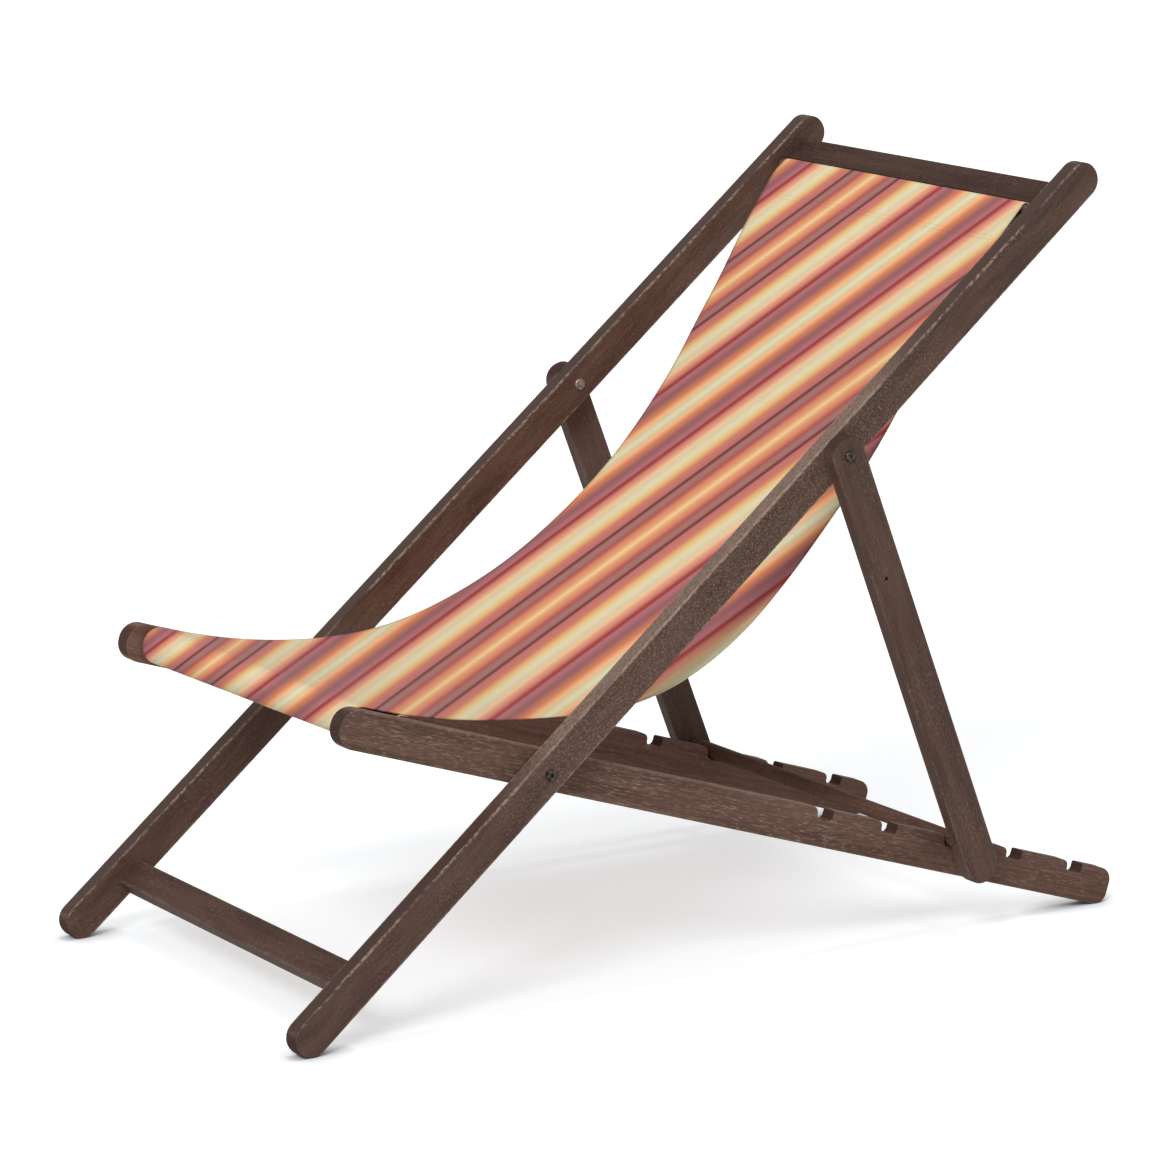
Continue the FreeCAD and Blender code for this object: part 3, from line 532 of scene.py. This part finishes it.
def sling_arcs():
    """Tangent arcs (centre, radius, first and last heading) of the cloth, and the two bars' centres.

    The first arc touches the front bar's roll and is level at the lowest point. Each later arc starts at
    the last heading and turns by twice the angle between it and the chord to the next stop.
    """
    low = np.array(PIVOT) + SLING_LOW
    roll = rail_point(*FRONT_BAR, SEAT_SLOPE)
    ahead, rise = low[0] - roll[0], roll[1] - low[1]
    radius = (ahead**2 + rise**2 - ROLL_RADIUS**2) / (2 * (ROLL_RADIUS + rise))
    arcs = [(low + [0.0, radius], radius, -math.atan2(ahead, radius - rise), 0.0)]
    place, heading = low, 0.0
    for along, front in SLING_STOPS:
        target = rail_point(along, front, BACK_SLOPE)
        step = target - place
        turn = 2 * (math.atan2(step[1], step[0]) - heading)
        radius = np.hypot(*step) / (2 * math.sin(turn / 2))
        arcs.append((place + radius * heading_vectors(heading)[1], radius, heading, heading + turn))
        place, heading = target, heading + turn
    rod = place - ROD_RADIUS * heading_vectors(heading)[1]
    return arcs, roll, rod


def path_lengths(points):
    """Distance along a path at each of its points, from 0."""
    return np.r_[0.0, np.cumsum(np.hypot(*np.diff(points, axis=0).T))]


ARCS, ROLL, ROD = sling_arcs()
main = [arc_path(*arc) for arc in ARCS]
main_points = np.vstack([points[:-1] for points, heading in main] + [main[-1][0][-1:]])
main_heading = np.concatenate([heading[:-1] for points, heading in main] + [main[-1][1][-1:]])
main_length = path_lengths(main_points)
print("cloth between the bars: %.0f mm" % (main_length[-1] * 1000))

# %% [markdown]
# A hem is a flat pocket with a bar in it. From its stitching the cloth runs straight to the bar, touches it
# at a tangent and follows it round. The tangent point of a line from outside a circle lies at the angle
# whose cosine is radius over distance, measured at the circle's centre. The front hem is a little loose
# towards its right end, so it is worked out twice, tight and loose, and blended across the chair.

# %% Hem paths
CLOTH = 0.0012                          # thickness
LAYER_GAP = 1.15 * CLOTH                # between the middles of two layers that are sewn together
SEAM = 0.045                            # from a bar to its hem's stitching
ALLOWANCE = 0.010                       # cloth beyond the stitching
HEM_SLACK = 0.0025                      # how loose the front hem hangs at its right end
LOOP_POINTS, FLAT_POINTS, TAIL_POINTS = 48, 14, 5


def bar_angle(centre, point):
    """Angle of a point seen from a bar's centre."""
    return math.atan2(*(point - centre)[::-1])


def hem_path(centre, radius, contact, turn_sign, stitch, stitch_heading, end):
    """Cloth from a bar's contact angle round the bar, on to the stitching point and a short way beyond it.

    Angles are measured at the bar's centre. turn_sign says which way the cloth goes round.
    """
    reach = np.hypot(*(stitch - centre))
    leave = bar_angle(centre, stitch) - turn_sign * math.acos(radius / reach)
    sweep = (turn_sign * (leave - contact)) % (2 * math.pi)
    angle = contact + turn_sign * np.linspace(0.0, sweep, LOOP_POINTS)
    loop = centre + radius * np.array([np.cos(angle), np.sin(angle)]).T
    flat = loop[-1] + np.linspace(0.0, 1.0, FLAT_POINTS)[1:, None] * (stitch - loop[-1])
    tail = np.linspace(0.0, 1.0, TAIL_POINTS)[1:, None] * end * heading_vectors(stitch_heading)[0]
    return np.vstack([loop, flat, stitch + tail])


def seam_point(distance, gap):
    """Place and heading on the hanging cloth at a distance along it, moved to its lower side by a gap."""
    place = np.array([np.interp(distance, main_length, main_points[:, k]) for k in (0, 1)])
    heading = float(np.interp(distance, main_length, main_heading))
    return place - gap * heading_vectors(heading)[1], heading


front_contact = bar_angle(ROLL, main_points[0])
front_end = (front_contact, 1, *seam_point(SEAM, LAYER_GAP), ALLOWANCE)
front_hem = hem_path(ROLL, ROLL_RADIUS, *front_end)
loose_middle = ROLL - HEM_SLACK * np.array([math.cos(front_contact), math.sin(front_contact)])
loose_hem = hem_path(loose_middle, ROLL_RADIUS + HEM_SLACK, *front_end)
top_contact = bar_angle(ROD, main_points[-1])
top_end = (top_contact, -1, *seam_point(main_length[-1] - SEAM, LAYER_GAP), -ALLOWANCE)
top_hem = hem_path(ROD, ROD_RADIUS, *top_end)

path = np.vstack([front_hem[:0:-1], main_points, top_hem[1:]])
path_length = path_lengths(path)
path_start = path_length[len(front_hem) - 1]
looseness = np.zeros_like(path)
looseness[:len(front_hem) - 1] = (loose_hem - front_hem)[:0:-1]
tangent = np.gradient(path, axis=0)
tangent /= np.hypot(*tangent.T)[:, None]
upper = np.array([-tangent[:, 1], tangent[:, 0]]).T
print("cut length of the cloth: %.0f mm" % (path_length[-1] * 1000))

# %% [markdown]
# The strip is wider at the hips than at the waist, and drawn to one side at the head, so its edges curve.
# They could be pulled into shape by hand in edit mode, but here each edge is a smooth curve through a few
# measured stations, and the strip is one grid of points between the two. The edges lift a little where the
# cloth is drawn in, as a taut strip does, and the left one droops at the hips. Each point keeps its place
# on the cloth as a UV map.

# %% Sling surface
EDGE_STATIONS = np.array([              # place along the cloth, then right and left edge from the middle
    (0.000, 0.2220, 0.2220), (0.110, 0.2225, 0.2225), (0.210, 0.2265, 0.2265), (0.310, 0.2365, 0.2382),
    (0.400, 0.2415, 0.2425), (0.480, 0.2365, 0.2365), (0.560, 0.2270, 0.2270), (0.630, 0.2200, 0.2200),
    (0.710, 0.2175, 0.2175), (0.840, 0.2170, 0.2165), (0.895, 0.2195, 0.2165), (0.960, 0.2305, 0.2175),
    (1.020, 0.2400, 0.2187), (1.045, 0.2435, 0.2195), (1.060, 0.2400, 0.2200),
])
STATIONS, RIGHT_EDGE, LEFT_EDGE = EDGE_STATIONS.T
STATIONS = STATIONS * main_length[-1] / STATIONS[-1]
COLUMNS = 97
CLOTH_HALF = 0.2225                     # half the cloth's width in its own coordinates
CUP = 0.0015                            # greatest lift of the edges
DROOP, DROOP_PLACE, DROOP_WIDTH = 0.0042, 0.335, 0.085


def smooth_curve(x, stations, values):
    """Cubic Hermite curve through stations: slopes from neighbours; h00, h10, h01 and h11 blend a span."""
    slopes = np.gradient(values, stations)
    x = np.clip(x, stations[0], stations[-1])
    i = np.clip(np.searchsorted(stations, x) - 1, 0, len(stations) - 2)
    span = stations[i + 1] - stations[i]
    t = (x - stations[i]) / span
    return (
        (2 * t**3 - 3 * t**2 + 1) * values[i]
        + (t**3 - 2 * t**2 + t) * span * slopes[i]
        + (3 * t**2 - 2 * t**3) * values[i + 1]
        + (t**3 - t**2) * span * slopes[i + 1]
    )


def grid_faces(rows, columns):
    """Quads of a rows by columns grid of points, as an (n, 4) array of point numbers."""
    number = np.arange(rows * columns).reshape(rows, columns)
    return np.stack(
        [number[:-1, :-1], number[:-1, 1:], number[1:, 1:], number[1:, :-1]], axis=-1
    ).reshape(-1, 4)


def mesh_object(name, points, *faces):
    """A mesh object at the origin, shaded smooth, from points and one or more arrays of faces."""
    mesh = bpy.data.meshes.new(name)
    mesh.from_pydata(points.tolist(), [], [face for some in faces for face in some.tolist()])
    mesh.polygons.foreach_set("use_smooth", np.ones(len(mesh.polygons), dtype=bool))
    mesh.update()
    made = bpy.data.objects.new(name, mesh)
    bpy.context.scene.collection.objects.link(made)
    return made


def sling_surface():
    """P(v, u) = path(v) + lift(v, u) * upper(v), at x = u * edge(v), for u from -1, right, to 1, left.

    The lift is cup * u ** 4, with a cup that fades out towards both bars, less the droop of the left edge
    at the hips, droop * exp(-((s - place) / width) ** 2) * u ** 4. The front hem grows looser from left to
    right, by (1 - u) / 2 of the way from the tight hem to the loose one.
    """
    on_main = np.clip(path_length - path_start, 0.0, main_length[-1])
    right, left = (smooth_curve(on_main, STATIONS, edge)[:, None] for edge in (RIGHT_EDGE, LEFT_EDGE))
    u = np.linspace(-1.0, 1.0, COLUMNS)[None, :]
    cup = CUP * np.sin(np.pi * on_main / main_length[-1]) ** 2
    droop = DROOP * np.exp(-(((on_main - DROOP_PLACE) / DROOP_WIDTH) ** 2))
    lift = (cup[:, None] - np.where(u > 0, droop[:, None], 0.0)) * u**4
    x = np.where(u < 0, right, left) * u
    loose = (1.0 - u) / 2
    y, z = (path[:, k, None] + lift * upper[:, k, None] + loose * looseness[:, k, None] for k in (0, 1))
    across, along = np.broadcast_arrays(CLOTH_HALF * u, path_length[:, None])
    return np.stack([x, y, z], axis=-1), np.stack([across, along], axis=-1)


cloth_points, cloth_place = sling_surface()
rows, columns = cloth_points.shape[:2]
sling = mesh_object("cloth_sling", cloth_points.reshape(-1, 3), grid_faces(rows, columns))
corner = np.empty(len(sling.data.loops), dtype=np.int32)
sling.data.loops.foreach_get("vertex_index", corner)
place_map = sling.data.uv_layers.new(name="cloth_place")
place_map.data.foreach_set("uv", cloth_place.reshape(-1, 2)[corner].astype(np.float32).ravel())
thicken = sling.modifiers.new("thickness", "SOLIDIFY")
thicken.thickness = CLOTH
thicken.offset = 0.0
print("sling:", rows, "x", columns, "points")

# %% [markdown]
# The stripes run on the slant across the whole hanging. They could follow the cloth's own length, but on
# this chair they look straight from where they were measured, so each point's place in the pattern is
# worked out from there: the point slides along its line to that far point until it lies at one level, and
# its distance across the stripes is measured at that level. It is kept on the mesh as an attribute.

# %% Stripe attribute
FAN_POINT = np.array(CAMERA_PLACE)
FAN_AXIS = np.array([-0.82372, 0.52622, -0.21107])
FAN_LEVEL = 5.4345
STRIPE_SLANT = np.array([5.0788, 4.5458, -8.7357])
STRIPE_START = 1.1957
STRIPE_PHASE = (-0.0422, 1.0554, -0.0074)       # a quadratic that evens out the stripes' widths


def stripe_phase(points):
    """Place in the stripes: quadratic(slant . (level - hinge) + start), for points moved to one level.

    Each point slides along its line to the far point until it lies at the level distance along the axis.
    """
    line = points - FAN_POINT
    level = FAN_POINT + line * (FAN_LEVEL / (line @ FAN_AXIS))[:, None]
    return np.polyval(STRIPE_PHASE, (level - [0.0, *PIVOT]) @ STRIPE_SLANT + STRIPE_START)


def add_stripes(made):
    """Give each point of a mesh its place in the stripes, as the attribute that the dyes read."""
    points = np.empty(3 * len(made.data.vertices))
    made.data.vertices.foreach_get("co", points)
    phase = stripe_phase(points.reshape(-1, 3)).astype(np.float32)
    made.data.attributes.new("stripe", "FLOAT", "POINT").data.foreach_set("value", phase)
    return phase


sling_phase = add_stripes(sling)
print("stripe repeats across the sling: %.1f" % (np.ptp(sling_phase) / 2))

# %% [markdown]
# The cloth is a plain weave, dyed in soft stripes of warm colours with two crisp lines, one red and one
# maroon. The stripes repeat in mirror pairs, so a ping-pong of the stripe attribute runs up and down one
# list of dyes, which stays crisp at any distance where a painted image would blur. The weave is two sets of
# fine waves in the cloth's own coordinates, which give a little height, and threads that differ slightly in
# tone. The two long edges are the loom's own, a narrow band of closer threads.

# %% Stripe dyes
DYES = {
    "lime_cream": (222, 222, 184), "sand": (223, 195, 153), "apricot": (240, 188, 140),
    "orange": (237, 165, 115), "copper": (213, 130, 90), "plum": (160, 97, 94), "mauve": (148, 94, 97),
    "rose": (175, 108, 112), "red": (156, 62, 60), "coral": (208, 125, 109), "peach": (226, 167, 130),
    "buff": (238, 195, 152), "oat": (220, 205, 167), "pale_olive": (226, 217, 180),
    "straw": (230, 196, 133), "amber": (223, 159, 110), "clay": (206, 127, 100),
    "old_rose": (193, 114, 108), "maroon": (116, 62, 60), "dusk": (164, 113, 108), "rust": (170, 86, 80),
    "salmon": (218, 134, 104), "maize": (240, 204, 150),
}
STRIPES = [
    (0.000, "lime_cream"), (0.050, "sand"), (0.078, "apricot"), (0.103, "orange"), (0.135, "copper"),
    (0.205, "plum"), (0.235, "mauve"), (0.285, "rose"), (0.306, "rose"), (0.320, "red"), (0.341, "red"),
    (0.374, "coral"), (0.423, "peach"), (0.447, "buff"), (0.495, "oat"), (0.546, "pale_olive"),
    (0.602, "straw"), (0.641, "amber"), (0.665, "clay"), (0.714, "old_rose"), (0.738, "old_rose"),
    (0.754, "maroon"), (0.774, "maroon"), (0.790, "dusk"), (0.826, "dusk"), (0.865, "rust"),
    (0.915, "salmon"), (0.955, "amber"), (1.000, "maize"),
]


def stripe_colour(tree):
    """Dye of the stripe attribute: a ping-pong of it between 0 and 1, read from the list of stripes."""
    phase = add(tree, "ShaderNodeAttribute", attribute_name="stripe").outputs["Fac"]
    ramp = add(tree, "ShaderNodeValToRGB", {"Fac": math_node(tree, "PINGPONG", phase, 1.0)})
    elements = ramp.color_ramp.elements
    elements[0].color, elements[1].color = (paint(*DYES[STRIPES[k][1]]) for k in (0, -1))
    for position, dye in STRIPES[1:-1]:
        elements.new(position).color = paint(*DYES[dye])
    return ramp.outputs["Color"]


print("stripes in a repeat:", 2 * len(STRIPES) - 2)

# %% Woven cloth
THREADS = 900.0                         # threads in a metre
SLUB_LENGTH = 25.0                      # uneven stretches of a thread in a metre
SELVEDGE = (CLOTH_HALF - 0.004, CLOTH_HALF - 0.003)     # where the closer threads begin and are full
THREAD_TONE, WEAVE_TONE, SELVEDGE_TONE = 0.16, 0.03, -0.10
BASE_TONE = 0.84
SLUB_RELIEF = 0.4                       # height of a thick thread, beside 1 for the weave
WEAVE_BUMP = (0.3, 0.0003)              # strength and depth in metres


def striped_cloth(name):
    """Woven cloth: the stripe's dye, uneven threads, closer threads at the edges, and a weave's height."""
    material, tree, shader = new_material(name)
    place = add(tree, "ShaderNodeUVMap", uv_map="cloth_place").outputs[0]
    parts = add(tree, "ShaderNodeSeparateXYZ", {0: place}).outputs
    turns = 2.0 * math.pi * THREADS
    warp, weft = (math_node(tree, "SINE", math_node(tree, "MULTIPLY", parts[k], turns)) for k in "XY")
    weave = math_node(tree, "MULTIPLY", warp, weft)
    slub = stretched_noise(tree, place, (THREADS, SLUB_LENGTH, 1.0), 2.0)
    slub_across = stretched_noise(tree, place, (SLUB_LENGTH, THREADS, 1.0), 2.0)
    thread = math_node(tree, "ADD", slub, slub_across)
    selvedge = soft_step(tree, math_node(tree, "ABSOLUTE", parts["X"]), *SELVEDGE)
    tone = math_node(tree, "MULTIPLY_ADD", thread, THREAD_TONE, BASE_TONE)
    tone = math_node(tree, "MULTIPLY_ADD", weave, WEAVE_TONE, tone)
    tone = math_node(tree, "MULTIPLY_ADD", selvedge, SELVEDGE_TONE, tone)
    tree.links.new(times_tone(tree, stripe_colour(tree), tone), shader.inputs["Base Color"])
    shader.inputs["Roughness"].default_value = 0.85
    shader.inputs["Specular IOR Level"].default_value = 0.12
    shader.inputs["Sheen Weight"].default_value = 0.06
    shader.inputs["Sheen Roughness"].default_value = 0.5
    height = math_node(tree, "MULTIPLY_ADD", thread, SLUB_RELIEF, weave)
    add_bump(tree, shader, math_node(tree, "ADD", height, selvedge), *WEAVE_BUMP)
    return material


sling.data.materials.append(striped_cloth("striped_cloth"))
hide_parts("sling")
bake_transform(sling)
print("sling dressed in", sling.data.materials[0].name)

# %% [markdown]
# Each hem is held by two rows of machine stitches, which show on both sides of the cloth. A bump could hint
# at them, but real threads catch the light and stay in the mesh. One stitch is a short round thread that
# dives into the cloth at both ends: a circle carried along a low arch. All stitches of a row are the same
# array of points, set side by side across the cloth by adding one offset to each.

# %% Stitch rows
STITCH, STITCH_GAP, THREAD_RADIUS = 0.0034, 0.0010, 0.00040
RINGS, SIDES = 5, 6                     # points along a stitch and round it
ARCH = 1.2                              # height of a stitch's arch, in thread radii


def stitch_row(place, heading, side, half):
    """Stitches across the cloth at one place on its path, as points, quads and end caps.

    One stitch is P(t, a) = (t * length / 2, r cos a, r (arch (1 - t ** 4) - 1 + sin a)), for t from -1 to
    1, in the cloth's own axes: across, along and out of it. side is 1 for the upper face, -1 for the lower.
    """
    t = np.linspace(-1.0, 1.0, RINGS)[:, None]
    a = np.linspace(0.0, 2 * np.pi, SIDES + 1)[None, :-1]
    across = t * STITCH / 2 + 0.0 * a
    along = THREAD_RADIUS * np.cos(a) + 0.0 * t
    out = THREAD_RADIUS * (ARCH * (1.0 - t**4) - 1.0 + np.sin(a))
    forward, outward = side * np.array(heading_vectors(heading))
    y, z = (place[k] + along * forward[k] + out * outward[k] for k in (0, 1))
    centres = np.arange(-half, half, STITCH + STITCH_GAP)
    centres = centres - centres.mean()
    one = np.stack([across, y, z], axis=-1).reshape(-1, 3)
    points = one[None] + np.stack([centres, 0 * centres, 0 * centres], axis=-1)[:, None]

    ring, turn = np.meshgrid(np.arange(RINGS - 1), np.arange(SIDES), indexing="ij")
    first = ring * SIDES
    after = (turn + 1) % SIDES
    quads = np.stack([first + turn, first + after, first + SIDES + after, first + SIDES + turn], -1)
    caps = np.stack([np.arange(SIDES)[::-1], (RINGS - 1) * SIDES + np.arange(SIDES)])
    starts = RINGS * SIDES * np.arange(len(centres))[:, None, None]
    quads = quads.reshape(1, -1, 4) + starts
    return points.reshape(-1, 3), quads.reshape(-1, 4), (caps + starts).reshape(-1, SIDES)


print("stitches in a metre: %.0f" % (1.0 / (STITCH + STITCH_GAP)))

# %% Hem stitching
STITCH_INSET = 0.012                    # bare cloth between the last stitch and the edge
ROWS = np.array([SEAM, SEAM + 0.005])
STITCH_SIDES = ((1, -0.5 * CLOTH), (-1, 1.65 * CLOTH))  # face, and how far below the cloth's middle it lies
TWIST_SCALE = 700.0
TWIST_TONE, TWIST_BASE = 0.16, 0.84
TWIST_BUMP = (0.4, 0.0001)              # strength and depth in metres


def twisted_thread(name):
    """Thread dyed as the cloth under it, a shade deeper, with a fine twist in its tone and height."""
    material, tree, shader = new_material(name)
    where = tree.nodes.new("ShaderNodeTexCoord").outputs["Object"]
    sockets = {"Vector": where, "Scale": TWIST_SCALE, "Distortion": 1.0}
    twist = add(tree, "ShaderNodeTexWave", sockets, bands_direction="DIAGONAL").outputs["Fac"]
    tone = math_node(tree, "MULTIPLY_ADD", twist, TWIST_TONE, TWIST_BASE)
    tree.links.new(times_tone(tree, stripe_colour(tree), tone), shader.inputs["Base Color"])
    shader.inputs["Roughness"].default_value = 0.7
    add_bump(tree, shader, twist, *TWIST_BUMP)
    return material


def hem_stitches(name, distances, body):
    """All rows of one hem in one mesh: both faces, at distances along the hanging cloth."""
    points, quads, caps, count = [], [], [], 0
    for distance in distances:
        half = float(np.interp(distance, STATIONS, LEFT_EDGE)) - STITCH_INSET
        for side, gap in STITCH_SIDES:
            row, row_quads, row_caps = stitch_row(*seam_point(distance, gap), side, half)
            points.append(row)
            quads.append(row_quads + count)
            caps.append(row_caps + count)
            count += len(row)
    made = mesh_object(name, np.vstack(points), np.vstack(quads), np.vstack(caps))
    add_stripes(made)
    made.data.materials.append(STITCH_THREAD)
    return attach(made, body)


STITCH_THREAD = twisted_thread("hem_thread")
front_stitches = hem_stitches("front_hem_stitches", ROWS, "seat_frame")
top_stitches = hem_stitches("top_hem_stitches", main_length[-1] - ROWS, "back_frame")
print("stitch points:", len(front_stitches.data.vertices), "and", len(top_stitches.data.vertices))

# %% [markdown]

# %% [markdown]
# The stage is a pale floor that runs out of view on every side. More light would wash the chair out, so to
# the camera the floor also glows a little: it reads as white paper while the chair's soft shadow stays on
# it. The glow is dimmed under the chair, most where the feet touch, which is a painted shadow. Its colour
# is a shade cool, because the sling throws warm light on it.

# %% Floor
FLOOR_REACH = 45.0
FLOOR_PALE = (0.80, 0.80, 0.80, 1.0)    # as other surfaces are lit by it
FLOOR_SEEN = (0.585, 0.62, 0.645, 1.0)  # as the camera sees it, before the glow
FLOOR_GLOW = 0.65
UNDER_CHAIR, UNDER_FEET = 0.90, 0.030   # how far above the floor a thing dims the glow
GLOW_DIMMED = 0.3                       # share of the glow that the chair can dim
FEET_DEEPEN = 1.5                       # power that darkens the floor where the feet touch


def seen_rays(tree):
    """1 for rays that the camera, a reflection or a clear thing sends, 0 for those that gather light."""
    kind = tree.nodes.new("ShaderNodeLightPath").outputs
    seen = math_node(tree, "MAXIMUM", kind["Is Camera Ray"], kind["Is Glossy Ray"])
    return math_node(tree, "MAXIMUM", seen, kind["Is Transmission Ray"])


def openness(tree, distance):
    """1 under open sky, less under whatever stands within a distance above the floor."""
    return add(tree, "ShaderNodeAmbientOcclusion", {"Distance": distance}, samples=8).outputs["AO"]


def floor_material():
    """Pale matt floor: diffuse light plus a glow that only seen rays see.

    The glow is strength * (0.7 + 0.3 open sky) * feet ** 1.5, so it fades under whatever stands above it: a
    painted shadow.
    """
    material, tree, shader = new_material("paper_floor")
    seen = seen_rays(tree)
    tree.links.new(mix_colour(tree, seen, FLOOR_PALE, FLOOR_SEEN), shader.inputs["Base Color"])
    shader.inputs["Roughness"].default_value = 1.0
    shader.inputs["Specular IOR Level"].default_value = 0.0
    shader.inputs["Emission Color"].default_value = (1.0, 1.0, 1.0, 1.0)
    dimmed, steady = GLOW_DIMMED * FLOOR_GLOW, (1.0 - GLOW_DIMMED) * FLOOR_GLOW
    glow = math_node(tree, "MULTIPLY_ADD", openness(tree, UNDER_CHAIR), dimmed, steady)
    feet = math_node(tree, "POWER", openness(tree, UNDER_FEET), FEET_DEEPEN)
    glow = math_node(tree, "MULTIPLY", feet, glow)
    tree.links.new(math_node(tree, "MULTIPLY", seen, glow), shader.inputs["Emission Strength"])
    return material


floor_corners = FLOOR_REACH * np.array([[-1, -1, 0], [1, -1, 0], [1, 1, 0], [-1, 1, 0]])
floor = mesh_object("floor", floor_corners, np.array([[0, 1, 2, 3]]))
floor.data.materials.append(floor_material())
print("floor: %.0f m across" % (2 * FLOOR_REACH))

# %% [markdown]
# One soft sun comes over the camera's left shoulder, a narrower one stands almost overhead, a little to the
# rear, and an even sky fills the rest. Area lamps would do as well, but suns light the chair alike from any
# distance. To the camera the sky is white, and what it adds there lights nothing.

# %% Light
KEY_LIGHT = (38.0, 40.0, 1.80, 22.0)    # azimuth, elevation, strength and softness
OVERHEAD_LIGHT = (180.0, 84.0, 0.52, 8.0)
SKY_LIGHT = 0.40
SKY_SEEN = 1.0


def sun(name, azimuth, elevation, strength, softness):
    """A sun seen at an azimuth (from -Y towards +X) and an elevation, as wide as softness in degrees."""
    lamp = bpy.data.lights.new(name, "SUN")
    lamp.energy = strength
    lamp.angle = math.radians(softness)
    made = bpy.data.objects.new(name, lamp)
    made.rotation_euler = (math.radians(90.0 - elevation), 0.0, math.radians(azimuth))
    bpy.context.scene.collection.objects.link(made)


sun("key_light", *KEY_LIGHT)
sun("overhead_light", *OVERHEAD_LIGHT)

world = bpy.data.worlds.new("studio_sky")
world.use_nodes = True
sky = world.node_tree
sky.nodes.clear()
level = math_node(sky, "MULTIPLY_ADD", seen_rays(sky), SKY_SEEN - SKY_LIGHT, SKY_LIGHT)
sky_light = add(sky, "ShaderNodeBackground", {"Color": (1.0, 1.0, 1.0, 1.0), "Strength": level})
sky_out = sky.nodes.new("ShaderNodeOutputWorld")
sky.links.new(sky_light.outputs[0], sky_out.inputs["Surface"])
bpy.context.scene.world = world
